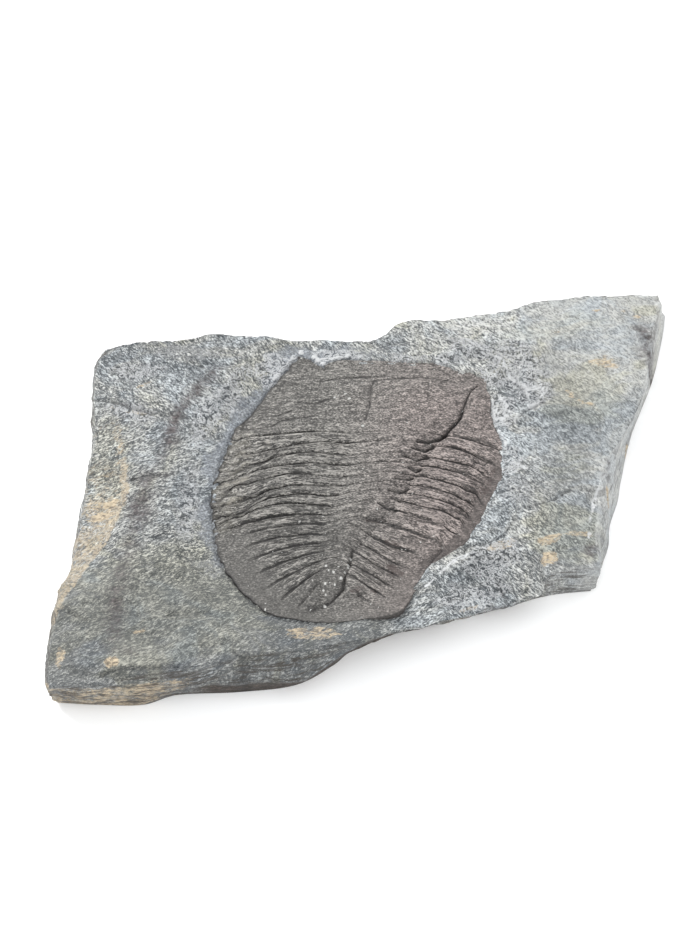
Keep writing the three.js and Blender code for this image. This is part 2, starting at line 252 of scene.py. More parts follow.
right_margin = track([
    (0, 17.8, 22.4), (1, 18.2, 17.2), (2, 18.3, 11.8), (3, 19.5, 6.8), (5, 19.5, -1.0),
    (7, 17.1, -7.2), (9, 14.5, -12.8), (11, 11.0, -17.6), (13, 6.7, -21.0), (15, 4.2, -24.9),
    (17, 1.1, -29.6), (19, -6.1, -31.1), (20, -9.8, -31.5),
])
ends = left_margin(np.array([0.0, TAIL_TIP]))[:, 1]
print("the shell's left margin runs from y", ends[0].round(1), "to", ends[1].round(1), "mm")

# %% [markdown]
# ## The slab's edges
# No two edges of the slab are alike, so each is a curve through the points where it turns. There are
# three outlines: the crest where the top ends, the shoulder where the walls stand out most, and the
# base on the floor. `patch` fills the space between the four edges of an outline with points.

# %% Lines of the slab
CURVE_SAMPLES = 24


def edge(points):
    """A smooth broken edge through points, read by its share of length from 0 to 1."""
    rows = np.array(points) - BOX_CENTRE
    padded = np.vstack([2 * rows[0] - rows[1], rows, 2 * rows[-1] - rows[-2]])
    t = np.linspace(0.0, 1.0, CURVE_SAMPLES, endpoint=False)[:, None]
    pieces = []
    for a, b, c, d in zip(padded[:-3], padded[1:-2], padded[2:-1], padded[3:]):
        bend = 2 * a - 5 * b + 4 * c - d
        pieces.append(b + 0.5 * t * (c - a + t * (bend + t * (3 * (b - c) + d - a))))
    curve = np.vstack(pieces + [rows[-1:]])
    length = np.concatenate([[0.0], np.cumsum(np.hypot(*np.diff(curve, axis=0).T))])
    length /= length[-1]
    return lambda share: np.stack([np.interp(share, length, curve[:, k]) for k in (0, 1)], axis=-1)


CREST = {
    "front": edge([
        (-51.4, -43.6), (-46.5, -43.3), (-42.4, -42.9), (-36.3, -42.0), (-29.0, -40.5), (-23.4, -38.5),
        (-16.6, -37.6), (-7.9, -36.3), (-3.6, -35.0), (-0.1, -33.2), (3.7, -32.2), (7.6, -30.9),
        (12.4, -29.2), (17.2, -27.6), (20.4, -26.4), (23.9, -25.2), (25.8, -21.6), (33.5, -20.4),
    ]),
    "back": edge([
        (-49.4, 28.6), (-44.4, 29.7), (-35.5, 31.2), (-31.9, 32.8), (-26.4, 32.3), (-13.3, 31.2),
        (-1.7, 31.5), (2.6, 35.2), (13.6, 36.6), (19.5, 38.5), (30.8, 41.5), (42.0, 42.1), (50.2, 43.2),
    ]),
    "left": edge([
        (-51.4, -43.6), (-51.8, -37.7), (-51.6, -27.2), (-50.4, -15.0), (-50.2, 0.2), (-50.3, 9.4),
        (-51.3, 19.1), (-50.9, 25.2), (-49.4, 28.6),
    ]),
    "right": edge([
        (33.5, -20.4), (33.2, -15.1), (33.9, -10.4), (34.8, -4.5), (36.0, 0.4), (39.8, 6.6),
        (42.4, 11.3), (45.1, 17.4), (46.3, 23.9), (47.2, 30.1), (49.8, 36.8), (50.2, 43.2),
    ]),
}
SHOULDER = {
    "front": edge([
        (-52.2, -42.7), (-46.5, -43.6), (-42.0, -43.3), (-36.5, -42.7), (-29.1, -41.3), (-23.4, -40.7),
        (-14.6, -40.4), (-12.2, -39.4), (-9.0, -37.0), (-5.2, -34.2), (-0.4, -31.4), (7.8, -28.9),
        (14.0, -27.0), (20.5, -24.8), (25.4, -21.5), (33.4, -20.7),
    ]),
    "back": edge([
        (-51.8, 29.4), (-44.0, 30.8), (-35.0, 32.0), (-26.4, 33.0), (-13.0, 31.9), (-1.0, 32.6),
        (5.0, 35.6), (19.5, 39.3), (31.0, 42.6), (42.0, 43.6), (52.6, 45.2),
    ]),
    "left": edge([
        (-52.2, -42.7), (-53.1, -39.9), (-53.3, -32.4), (-52.9, -23.2), (-51.7, -18.1), (-51.5, -4.0),
        (-51.1, 10.3), (-51.9, 16.4), (-52.6, 23.9), (-51.8, 29.4),
    ]),
    "right": edge([
        (33.4, -20.7), (35.0, -14.6), (36.4, -8.8), (37.6, -2.6), (39.2, 3.8), (41.7, 10.0),
        (45.4, 18.9), (48.4, 28.4), (51.2, 37.2), (52.6, 45.2),
    ]),
}
BASE = {
    "front": edge([
        (-51.2, -42.0), (-45.0, -42.4), (-38.1, -42.4), (-32.9, -40.6), (-23.7, -40.1), (-14.8, -38.8),
        (-9.1, -35.2), (-6.4, -32.6), (-1.3, -29.6), (7.8, -27.0), (14.0, -25.2), (22.0, -22.6),
        (27.0, -21.2), (32.8, -20.5),
    ]),
    "back": edge([
        (-50.9, 28.4), (-42.0, 30.0), (-33.0, 31.0), (-24.0, 32.0), (-12.0, 31.0), (0.5, 33.2),
        (10.0, 36.4), (22.0, 39.6), (33.0, 43.2), (43.0, 44.4), (54.2, 46.1),
    ]),
    "left": edge([
        (-51.2, -42.0), (-52.2, -36.0), (-51.8, -24.0), (-50.6, -12.0), (-50.4, 2.0), (-50.4, 12.0),
        (-51.4, 20.0), (-50.9, 28.4),
    ]),
    "right": edge([
        (32.8, -20.5), (36.5, -11.9), (37.4, -6.9), (39.4, -1.3), (40.6, 3.7), (43.6, 14.1),
        (48.9, 27.2), (51.9, 37.2), (54.2, 46.1),
    ]),
}


def patch(outline, u, w):
    """Points of the sheet spanned by an outline's four edges: u runs left to right, w front to back."""
    u_share, w_share = u[:, None], w[:, None]
    front, back = outline["front"](u), outline["back"](u)
    left, right = outline["left"](w), outline["right"](w)
    ends = np.array([0.0, 1.0])
    front_left, front_right = outline["front"](ends)
    back_left, back_right = outline["back"](ends)
    corners = (front_left * (1 - u_share) + front_right * u_share) * (1 - w_share)
    corners = corners + (back_left * (1 - u_share) + back_right * u_share) * w_share
    return front * (1 - w_share) + back * w_share + left * (1 - u_share) + right * u_share - corners


half = np.array([0.5])
print("the middle of the slab's top lies at", patch(CREST, half, half)[0].round(1), "mm")

# %% [markdown]
# ## A blank to bend
# Both surfaces start as the same kind of blank: a flat grid whose open rim is extruded downwards a
# ring at a time, like a shallow tray turned over. The grid's own coordinates stay with each point,
# so the rules know where on the sheet a point belongs, whatever order the points are in.

# %% Blank trays
WELD_IN_METRES = 1e-7


def make_blank(name, columns, rows, rings, open_side=False):
    """A mesh and its points: a grid from -1 to 1 with rings below its rim, at z -1, -2 and so on.
    The side at y -1 may stay open."""
    tray = bmesh.new()
    bmesh.ops.create_grid(tray, x_segments=columns, y_segments=rows, size=1.0)

    def on_rim(rim_edge, depth):
        if not rim_edge.is_boundary:
            return False
        at_depth = all(abs(vert.co.z + depth) < 0.5 for vert in rim_edge.verts)
        on_open_side = open_side and all(vert.co.y < -0.9999 for vert in rim_edge.verts)
        return at_depth and not on_open_side

    for ring in range(rings):
        rim = [rim_edge for rim_edge in tray.edges if on_rim(rim_edge, ring)]
        grown = bmesh.ops.extrude_edge_only(tray, edges=rim)["geom"]
        new_verts = [part for part in grown if isinstance(part, bmesh.types.BMVert)]
        bmesh.ops.translate(tray, vec=(0.0, 0.0, -1.0), verts=new_verts)
    mesh = bpy.data.meshes.new(name)
    tray.to_mesh(mesh)
    tray.free()
    return mesh, read_points(mesh)


def write_points(mesh, points):
    mesh.vertices.foreach_set("co", (points * MM).astype(np.float32).ravel())
    mesh.update()


def read_points(mesh):
    points = np.empty(len(mesh.vertices) * 3, dtype=np.float32)
    mesh.vertices.foreach_get("co", points)
    return points.reshape(-1, 3).astype(float)


def write_value(mesh, name, values):
    layer = mesh.attributes.new(name, "FLOAT", "POINT")
    layer.data.foreach_set("value", values.astype(np.float32))


def write_mask(mesh, name, values):
    write_value(mesh, name, np.clip(values, 0.0, 1.0))


def close_tray(mesh):
    """Welds points that meet, closes the hole underneath and turns every face outwards."""
    tray = bmesh.new()
    tray.from_mesh(mesh)
    bmesh.ops.remove_doubles(tray, verts=tray.verts, dist=WELD_IN_METRES)
    bmesh.ops.dissolve_degenerate(tray, edges=tray.edges, dist=WELD_IN_METRES)
    hole = [rim_edge for rim_edge in tray.edges if rim_edge.is_boundary]
    bmesh.ops.edgeloop_fill(tray, edges=hole)
    bmesh.ops.recalc_face_normals(tray, faces=tray.faces)
    open_edges = sum(not part.is_manifold for part in tray.edges)
    tray.to_mesh(mesh)
    tray.free()
    mesh.shade_smooth()
    triangles = sum(len(face.vertices) - 2 for face in mesh.polygons)
    print(mesh.name, "has", triangles, "triangles and", open_edges, "open edges")


def add_piece(name, mesh, node):
    piece = bpy.data.objects.new(name, mesh)
    bpy.context.scene.collection.objects.link(piece)
    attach(piece, "root")
    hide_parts(node)
    return piece


print("points within", round(WELD_IN_METRES / MM, 6), "mm of each other will be welded")

# %% [markdown]
# ## The shell's shape
# The shell was flattened in the mud, so its relief is low: a gently raised axis, broad side lobes
# that fall to the margin, and overlapping segments. Each segment rises slowly towards its rear edge
# and then drops, so a thin shadow marks every joint. The tail has ribs that die out before its
# smooth border. The right furrow of the axis is crushed, with a row of small pits in it. The joints
# are crooked on the real shell, so they follow lines of their own instead of the grid. The lines
# are listed from the head backwards, and those of the axis come from blending the two sides.

# %% Joints of the shell
LEFT_JOINTS = [
    [(-27.0, 5.8), (-21.5, 6.6), (-15.1, 7.0), (-10.6, 7.3), (-6.0, 7.0)],
    [(-28.0, 1.2), (-22.5, 2.6), (-17.9, 3.7), (-14.8, 4.4), (-11.5, 4.9), (-7.5, 4.6), (-4.2, 4.4)],
    [(-28.8, -2.0), (-24.5, -0.7), (-20.9, 0.5), (-18.4, 1.7), (-15.3, 2.3), (-12.0, 2.4), (-7.5, 1.9)],
    [(-29.3, -4.1), (-26.0, -2.8), (-22.3, -1.4), (-18.3, -0.6), (-12.9, 0.0), (-9.3, -0.5), (-6.8, -0.5)],
    [(-29.5, -6.1), (-26.5, -5.3), (-20.1, -3.3), (-17.4, -2.6), (-15.0, -2.5), (-12.0, -2.7),
     (-7.0, -3.1)],
    [(-29.5, -9.6), (-26.5, -8.9), (-22.1, -7.5), (-20.0, -6.1), (-16.4, -5.1), (-12.8, -5.0),
     (-7.5, -5.1)],
    [(-29.3, -12.2), (-24.2, -10.8), (-22.0, -8.9), (-19.9, -7.8), (-14.6, -6.9), (-11.0, -7.4),
     (-8.2, -7.2)],
    [(-29.0, -13.4), (-25.1, -11.6), (-22.0, -10.1), (-19.9, -9.4), (-16.7, -9.0), (-13.7, -9.2),
     (-9.2, -9.8)],
    [(-28.8, -14.7), (-23.3, -12.6), (-19.8, -11.8), (-15.4, -11.4), (-10.2, -11.4)],
    [(-28.0, -17.2), (-25.2, -15.8), (-22.3, -14.8), (-18.8, -14.0), (-15.3, -13.6), (-10.9, -13.4)],
]
RIGHT_JOINTS = [
    [(8.8, 6.6), (10.2, 6.3), (12.9, 5.6), (15.2, 4.9), (17.2, 4.2), (19.4, 3.2)],
    [(7.0, 4.2), (11.2, 3.3), (13.1, 2.6), (15.4, 1.2), (17.8, -0.1), (19.4, -1.2)],
    [(5.6, 1.6), (7.6, 1.2), (11.1, -0.1), (13.6, -0.7), (16.0, -2.2), (18.6, -4.4)],
    [(4.2, -0.4), (6.8, -0.8), (9.5, -1.6), (12.6, -2.6), (15.8, -4.9), (17.6, -7.0)],
    [(3.0, -2.6), (5.7, -3.1), (9.0, -4.4), (11.7, -5.3), (14.3, -6.6), (16.2, -9.6)],
    [(2.0, -4.6), (4.7, -5.1), (8.3, -6.2), (10.9, -7.3), (13.4, -8.8), (15.0, -11.4)],
    [(1.0, -6.4), (3.6, -6.8), (6.9, -7.9), (10.2, -9.2), (12.3, -10.4), (14.0, -13.2)],
    [(0.0, -8.2), (2.1, -8.6), (4.9, -9.7), (8.1, -10.5), (11.4, -12.0), (12.8, -15.0)],
    [(-1.0, -10.1), (1.2, -10.5), (4.5, -11.8), (8.1, -13.0), (11.0, -15.8)],
    [(-2.6, -12.4), (-0.2, -13.8), (2.9, -14.9), (5.8, -16.0), (8.6, -18.2)],
    [(-3.6, -15.6), (-2.8, -16.6), (0.1, -18.2), (2.9, -18.9), (5.1, -20.4), (6.6, -22.0)],
    [(-3.6, -18.6), (-1.1, -20.4), (0.6, -21.5), (2.8, -22.2), (4.2, -23.3), (5.4, -25.2)],
    [(-5.1, -19.9), (-2.8, -21.7), (-1.1, -22.9), (0.8, -23.8), (2.7, -25.2), (4.0, -27.0)],
    [(-5.3, -22.6), (-2.8, -24.2), (-1.2, -25.4), (0.2, -26.2), (1.6, -28.0)],
    [(-5.6, -24.8), (-3.7, -26.4), (-2.0, -27.6), (-0.9, -28.4)],
]
JOINT_GAP = 2.3
LEAST_GAP = 0.6
LAST_LEFT_JOINT = 12


def station_from_joints(joints, x, y):
    """Counts segments from the drawn joints, so joint k lies where the station is k."""
    heights = []
    for joint in joints:
        rows = np.array(joint)
        first_slope = (rows[1, 1] - rows[0, 1]) / (rows[1, 0] - rows[0, 0])
        last_slope = (rows[-1, 1] - rows[-2, 1]) / (rows[-1, 0] - rows[-2, 0])
        level = np.interp(x, rows[:, 0], rows[:, 1])
        level += np.minimum(x - rows[0, 0], 0) * first_slope + np.maximum(x - rows[-1, 0], 0) * last_slope
        heights.append(np.minimum(level, heights[-1] - LEAST_GAP) if heights else level)
    station = HEAD_BACK - (y - heights[0]) / JOINT_GAP
    for k, (upper, lower) in enumerate(zip(heights[:-1], heights[1:])):
        between = (y <= upper) & (y > lower)
        station = np.where(between, HEAD_BACK + k + (upper - y) / (upper - lower), station)
    past = HEAD_BACK + len(joints) - 1 + (heights[-1] - y) / JOINT_GAP
    return np.where(y <= heights[-1], past, station)


print(len(LEFT_JOINTS), "joints are drawn on the left and", len(RIGHT_JOINTS), "on the right")

# %% [markdown]
# ## Where the shell's points lie
# The grid is draped between the four measured lines. Its middle third spans the axis and the rest the
# side lobes, and its rows are evenly spaced along the body, so the mesh is equally fine everywhere.
# The front of the head is broken away on the real shell, so its edge is shifted by a drawn line.

# %% Layout of the shell
SHELL_COLUMNS = 240
SHELL_ROWS = 310
SHELL_RINGS = 2
AXIS_SHARE = 1 / 3
MARGIN_LEFT = 6.35
MARGIN_RIGHT = 6.5
PLEURAL_HEIGHT = 7.25
AXIS_RISE = 1.0
BOW_LEFT = 1.3
BOW_RIGHT = 0.6
SHELL_UNDERSIDE = shell_low[2] / MM + 0.1
FRONT_SHIFT = [
    (-15.9, -0.6), (-13.5, -1.2), (-11.6, -3.4), (-10.6, -1.8), (-8.6, -0.5), (-2.2, 0.35), (4.0, 1.0),
    (8.0, 1.4), (11.7, 0.9), (13.4, -0.5), (14.6, 0.6), (16.2, -0.4), (17.4, -1.2),
]


def even_stations(share):
    """Stations whose rows are evenly spaced on the shell, for a share of the way from head to tail."""
    stations = np.linspace(0.0, TAIL_TIP, 401)
    middle = left_furrow(stations) * 0.6 + left_margin(stations) * 0.15 + right_margin(stations) * 0.25
    length = np.concatenate([[0.0], np.cumsum(np.hypot(*np.diff(middle, axis=0).T))])
    return np.interp(share * length[-1], length, stations)


def lay_out_shell(s, v):
    """Where the grid's points lie, and how far each is from the axial furrow to the margin."""
    side = np.clip((np.abs(s) - AXIS_SHARE) / (1 - AXIS_SHARE), 0.0, 1.0)
    on_left = (s < 0)[:, None]
    furrow = np.where(on_left, left_furrow(v), right_furrow(v))
    margin = np.where(on_left, left_margin(v), right_margin(v))
    across = np.clip((s / AXIS_SHARE + 1) / 2, 0.0, 1.0)[:, None]
    axis = left_furrow(v) * (1 - across) + right_furrow(v) * across
    lobe = furrow * (1 - side[:, None]) + margin * side[:, None]
    place = np.where(side[:, None] > 0, lobe, axis)
    bow = np.where(s < 0, BOW_LEFT, BOW_RIGHT) * smooth((v - 2) / 2) * smooth((TAIL_TIP - v) / 9)
    place[:, 1] += bow * np.sin(math.pi * side)
    shift_x, shift = np.array(FRONT_SHIFT).T
    place[:, 1] += np.interp(place[:, 0], shift_x, shift) * (1 - smooth(v / 1.6))
    return place[:, 0], place[:, 1], side


def shell_rim():
    """The shell's outline seen from above, as a closed loop of points."""
    down = np.arange(0.0, TAIL_TIP, 0.4)
    over = np.arange(-1.0, 1.0, 0.04)
    s = np.concatenate([np.full(down.size, -1.0), np.full(down.size, 1.0), over[::-1]])
    v = np.concatenate([down, down[::-1], np.zeros(over.size)])
    x, y = lay_out_shell(s, v)[:2]
    return list(zip(x, y))


SHELL_OUTLINE = shell_rim()
print("the shell's outline has", len(SHELL_OUTLINE), "points")


def shell_stations(s, v, x, y):
    """Stations that follow the drawn joints, blended into the grid's own on the left of the tail."""
    on_left = station_from_joints(LEFT_JOINTS, x, y)
    on_right = station_from_joints(RIGHT_JOINTS, x, y)
    in_tail = smooth((v - LAST_LEFT_JOINT + 0.5) / 1.0)
    left = on_left + (v - on_left) * in_tail
    across = smooth((s / AXIS_SHARE + 1) / 2)
    near_tip = smooth((v - 17.0) / 1.5)
    station = left + (on_right - left) * across
    return station + (v - station) * near_tip


# %% [markdown]
# ## What stands up and what sinks in
# The relief is a sum: the broad form, the overlapping segments, the ribs of the tail, and then the
# marks of age. Pits, cracks and creases are drawn as lines with a width and a depth, and hollows as
# ovals. The values that shape the surface are also kept on its points, so that the finish paints
# shade into the same places that are deep.

# %% Relief of the shell
PITS = [
    ([(5.0, 4.9), (6.8, 4.7), (8.9, 5.6), (9.9, 6.5)], 0.36, 0.9),
    ([(4.2, 3.2), (6.1, 2.5), (7.6, 3.8)], 0.3, 0.7),
    ([(2.8, 1.3), (4.6, 0.4), (6.4, 1.3)], 0.28, 0.65),
    ([(3.3, -1.3), (4.5, -2.0), (5.4, -1.4)], 0.28, 0.55),
    ([(1.0, -3.7), (3.0, -3.9), (3.9, -3.3)], 0.26, 0.55),
    ([(-0.1, -6.2), (1.6, -6.8), (3.2, -5.8)], 0.26, 0.5),
    ([(0.3, -8.0), (1.5, -8.5), (2.3, -8.0)], 0.2, 0.35),
    ([(-1.9, -9.2), (-0.2, -10.4), (0.6, -10.0)], 0.25, 0.5),
    ([(-3.6, -12.9), (-2.1, -12.6), (-1.2, -12.2)], 0.2, 0.35),
    ([(-3.9, -12.3), (-1.9, -13.1), (-0.4, -12.7)], 0.2, 0.3),
]
CRACKS = [
    ([(15.9, 18.4), (14.6, 16.9), (13.8, 14.9), (13.0, 12.3)], 0.17, 0.5),
    ([(13.0, 12.3), (12.5, 10.3), (10.8, 8.0), (9.6, 6.2)], 0.24, 0.75),
    ([(-6.2, -19.0), (-6.6, -22.2), (-7.4, -24.5), (-7.7, -26.5)], 0.22, 0.35),
    ([(-7.7, -26.5), (-9.3, -28.4), (-11.0, -29.8)], 0.3, 0.45),
    ([(-11.0, -29.8), (-12.6, -30.4)], 0.5, 0.3),
    ([(-7.4, -28.0), (-5.6, -28.0), (-3.9, -27.5)], 0.3, 0.3),
    ([(-6.8, -13.4), (-5.3, -14.3), (-3.6, -15.6), (-1.9, -15.5), (-0.4, -13.8)], 0.14, 0.22),
    ([(8.1, -15.0), (8.2, -18.4), (6.8, -20.2), (5.3, -23.7), (3.8, -26.1)], 0.2, 0.3),
]
HOLLOWS = [
    (7.4, 6.0, 2.6, 1.1, 0.25), (8.6, 8.4, 1.8, 0.9, -0.1), (5.9, 3.4, 1.7, 0.9, 0.2),
    (4.8, 1.3, 1.7, 0.9, 0.1), (4.4, -1.2, 1.2, 0.8, 0.0), (2.6, -3.0, 1.5, 0.8, 0.1),
    (1.8, -5.8, 1.6, 0.9, 0.1), (-0.4, -9.4, 1.2, 0.9, 0.2),
]
HOLLOW_DEPTH = 0.32
CREASE_WIDTH = 0.2
CREASE_DEPTH = 0.2
BEAD_SIZE = 0.22
BEAD_RISE = 0.12
SKIRT_TOP = 5.8
STAINS = [
    (0.0, -17.9, 2.4, 1.0, -0.5, 0.8), (0.6, -22.9, 1.8, 1.3, -0.7, 0.9),
    (-5.4, -26.8, 1.6, 0.7, 0.1, 0.8), (-1.9, -27.2, 1.4, 0.8, -0.2, 0.5),
    (-3.4, -13.0, 1.6, 0.6, 0.0, 0.8), (15.4, -4.6, 1.6, 4.4, -0.5, 0.6),
    (12.2, -9.6, 1.4, 3.6, -0.5, 0.5), (4.4, -13.4, 2.0, 0.8, -0.5, 0.5),
]
LEFT_BLOTCHES = [
    (-24.8, -3.6, 2.0, 0.9, 0.3, 0.9), (-24.3, 2.2, 1.5, 1.0, 0.0, 0.7), (-25.6, -8.2, 1.8, 0.8, 0.2, 1.0),
    (-24.4, -0.4, 1.1, 1.0, 0.0, 0.7), (-27.6, -4.4, 1.2, 1.0, 0.2, 0.9), (-20.4, 4.4, 0.6, 2.0, 0.4, 0.4),
]
BEADS = [
    (-10.4, -22.4), (-10.0, -23.3), (-9.2, -23.7), (-6.5, -20.7), (-6.9, -22.5), (-7.4, -23.5),
    (-8.0, -24.7), (-10.5, -25.6), (-10.8, -26.8), (-10.4, -27.5), (-10.5, -29.4), (-7.4, 16.0),
    (-6.7, 14.9), (-9.3, 15.3), (-4.4, 8.4), (-15.3, 26.0), (-14.8, -13.2), (-9.0, -25.9), (-6.9, -22.0),
]
CREASES = [
    [(-22.2, 15.0), (-23.4, 12.6), (-24.8, 10.3), (-25.1, 8.0), (-23.8, 8.2), (-21.6, 8.2),
     (-19.7, 8.8), (-18.7, 9.9)],
    [(-19.1, 11.2), (-17.6, 11.9), (-16.7, 12.4)], [(-18.7, 9.9), (-15.5, 10.3), (-13.1, 10.6)],
    [(-15.6, 14.2), (-12.7, 13.8), (-9.6, 15.3)],
    [(-2.2, 20.0), (-2.8, 18.1), (-3.0, 15.8), (-3.2, 12.9), (-3.9, 10.0)],
    [(-12.3, 19.6), (-9.4, 20.0), (-5.4, 20.7), (-0.1, 21.3)],
    [(-2.2, 20.0), (0.5, 20.3), (5.8, 20.7), (10.6, 20.0)],
    [(-27.3, 2.5), (-26.2, 2.7), (-24.4, 3.8), (-22.5, 3.9), (-20.9, 4.5), (-19.5, 3.8), (-18.9, 2.3)],
    [(-27.3, -2.4), (-26.0, -2.2), (-24.2, -1.0), (-22.0, -0.4), (-20.7, 0.5), (-18.9, 2.1)],
    [(-27.4, -5.9), (-25.8, -4.9), (-24.0, -4.0), (-21.9, -3.5), (-19.6, -2.6)],
    [(-26.4, 0.1), (-25.0, 0.4), (-24.0, 1.2)],
    [(-27.1, -11.5), (-25.6, -10.6), (-23.8, -10.1), (-22.5, -8.7), (-21.2, -7.7)],
    [(-27.1, -7.0), (-25.7, -6.8), (-24.1, -7.7), (-22.3, -6.6), (-21.0, -5.6)],
    [(-29.4, -10.7), (-28.2, -10.0), (-27.4, -8.6)], [(-29.5, -7.9), (-28.1, -7.8), (-27.1, -6.6)],
    [(11.2, 6.4), (13.4, 5.5), (16.0, 5.1), (18.5, 4.0)],
    [(11.1, 3.5), (13.6, 2.2), (15.8, 1.4), (17.9, 0.1)],
    [(14.6, 0.1), (16.1, -0.3), (17.1, 1.0), (17.8, 0.1)],
    [(10.3, -1.2), (12.4, -2.2), (14.3, -2.9), (15.8, -4.1)],
    [(13.5, -4.6), (15.2, -5.0)], [(10.5, -4.1), (12.3, -4.9), (14.1, -5.8), (15.2, -8.6)],
    [(12.4, -7.1), (13.8, -7.0), (14.2, -8.3)], [(9.8, -10.3), (11.7, -11.1), (12.9, -11.9)],
]


def joint_phase(station):
    phase = station - np.floor(station)
    return phase, np.minimum(phase, 1 - phase)


def segment_relief(station, s, side, firm):
    """The overlapping thoracic segments: a slow rise to the rear edge, a drop, and a shallow furrow."""
    in_thorax = between(station, HEAD_BACK - 0.12, 0.1, THORAX_BACK, 0.6)
    phase, gap = joint_phase(station)
    rise = phase - smooth((phase - 0.84) / 0.16)
    on_side = between(side, 0.0, 0.06, 0.82, 0.15)
    furrow = ridge(phase - 0.46 - 0.12 * side, 0.1) * on_side
    on_axis = np.where(np.abs(s) < AXIS_SHARE, 0.4, 1.0)
    amount = (1 - 0.4 * smooth((side - 0.7) / 0.3)) * on_axis
    return in_thorax * amount * (0.36 * (rise - 0.4) - 0.2 * firm * ridge(gap, 0.07) - 0.09 * furrow)


def tail_relief(station, s, side, v):
    """The tail's ribs, which fade before its smooth border, with a fainter line along each rib."""
    in_tail = smooth((station - THORAX_BACK) / 0.6) * smooth((TAIL_TIP - 0.3 - v) / 1.5)
    phase, gap = joint_phase(station)
    border = 1 - smooth((side - 0.55) / 0.3)
    between = ridge(phase - 0.5, 0.09) * smooth((side - 0.15) / 0.2)
    on_axis = np.where(side > 0, 0.45 + 0.55 * smooth(side / 0.2), 0.45)
    rise = 0.24 * (phase - 0.5)
    return in_tail * border * on_axis * (0.12 + rise - 0.24 * ridge(gap, 0.12) - 0.08 * between)


def shell_relief(s, v, side):
    """The shell's broad form, without its segments."""
    front = smooth(v / 1.2)
    tail = smooth((TAIL_TIP - v) / 3)
    margin = MARGIN_LEFT + np.where(s < 0, 0.0, (MARGIN_RIGHT - MARGIN_LEFT) * tail)
    lobe = margin + (PLEURAL_HEIGHT - margin) * front * tail
    fall = np.where(v > THORAX_BACK, smooth(side / 0.85), side**1.7)
    height = lobe + (margin - lobe) * fall + 0.35 * np.sin(math.pi * side) * front * tail
    crest = np.where(np.abs(s) < AXIS_SHARE, 1 - (s / AXIS_SHARE) ** 2, 0.0)
    in_tail = smooth((v - 9) / 4)
    rise = AXIS_RISE * (0.45 - 0.2 * in_tail)
    height += rise * crest * (0.4 + 0.6 * smooth((v - 1) / 3)) * tail * front
    groove = np.where(s < 0, 0.05 + 0.05 * in_tail, 0.15)
    height -= groove * ridge(np.abs(s) - AXIS_SHARE, 0.025) * smooth((v - 2) / 2) * tail
    rim = np.maximum(0.6 * smooth((side - 0.9) / 0.04), 1 - smooth(v / 0.12)) * (1 - smooth((v - 2.6) / 0.4))
    return height + 0.2 * rim


def deepest(marks, x, y, ragged):
    """The depth left by a list of marks, each a line with a width and a depth."""
    depth = np.zeros(x.shape)
    for line, width, deep in marks:
        depth = np.maximum(depth, deep * ridge(distance_to(line, x, y) + ragged * width, width))
    return depth


def write_line_masks(mesh, s, v, side, station, firm, gutter):
    """Where the finish paints the joints' shadow lines and highlights, the wrinkles beside them, the light
    and shade of each segment's slope and the shadow along the margin.
    """
    phase = joint_phase(station)[0]
    lined = smooth((station - HEAD_BACK + 0.1) / 0.1) * smooth((TAIL_TIP - 1.5 - v) / 1.5)
    lined = lined * np.where(v > THORAX_BACK, 1 - smooth((side - 0.58) / 0.25), 1.0)
    firm = firm + (0.75 - firm) * 0.6 * smooth((v - 10.5) / 1.5)
    on_axis = 1 - (0.65 + 0.15 * smooth((v - 10) / 2)) * smooth((AXIS_SHARE + 0.02 - np.abs(s)) / 0.12)
    write_value(mesh, "station", station)
    # The joint mask places the painted shadow line at each joint and the painted highlight behind it.
    write_mask(mesh, "joint", firm * lined * on_axis * (1 - gutter))
    # The rise mask is painted light and shade: each segment is painted lighter towards its raised rear edge
    # and darker at its front.
    write_mask(mesh, "rise", 0.5 + 0.5 * lined * on_axis * (phase - smooth((phase - 0.8) / 0.2) - 0.35))
    # The margin mask is a painted shadow along the shell's edge, strongest on the left.
    write_mask(mesh, "margin", ridge(1 - side, 0.016) * np.where(s < 0, 1.0, 0.6))
    write_mask(mesh, "gutter", gutter)
    in_ribs = 0.32 + 0.68 * smooth((station - HEAD_BACK) / 0.3) * (0.4 + 0.6 * smooth(side / 0.1))
    in_ribs = in_ribs * (1 - smooth((v - 10.5) / 1.5) * smooth((side - 0.45) / 0.25))
    in_ribs = in_ribs * (1 - smooth((v - 16.5) / 1.5))
    write_mask(mesh, "ribbed", in_ribs * (1 - gutter) * (1 - 0.35 * smooth((s + 0.35) / 0.2)))
    tail_border = smooth((v - 12) / 3) * smooth((side - 0.6) / 0.15)
    write_mask(mesh, "calm", np.maximum(np.maximum(gutter, tail_border), 0.45 * smooth((v - 10.5) / 2)))


def shell_lightness(s, v, x, in_head):
    """How light the shell is: darker on the head, on the axis, on the left and at the tail."""
    on_left = smooth((-8 - x) / 6)
    light = 0.44 - 0.09 * in_head - 0.09 * on_left - 0.05 * in_head * on_left
    light = light - 0.05 * (np.abs(s) < AXIS_SHARE) * smooth((v - 2.6) / 0.8)
    return light - smooth((v - 10.5) / 1.5) * (0.14 + 0.1 * smooth((-6 - x) / 6))


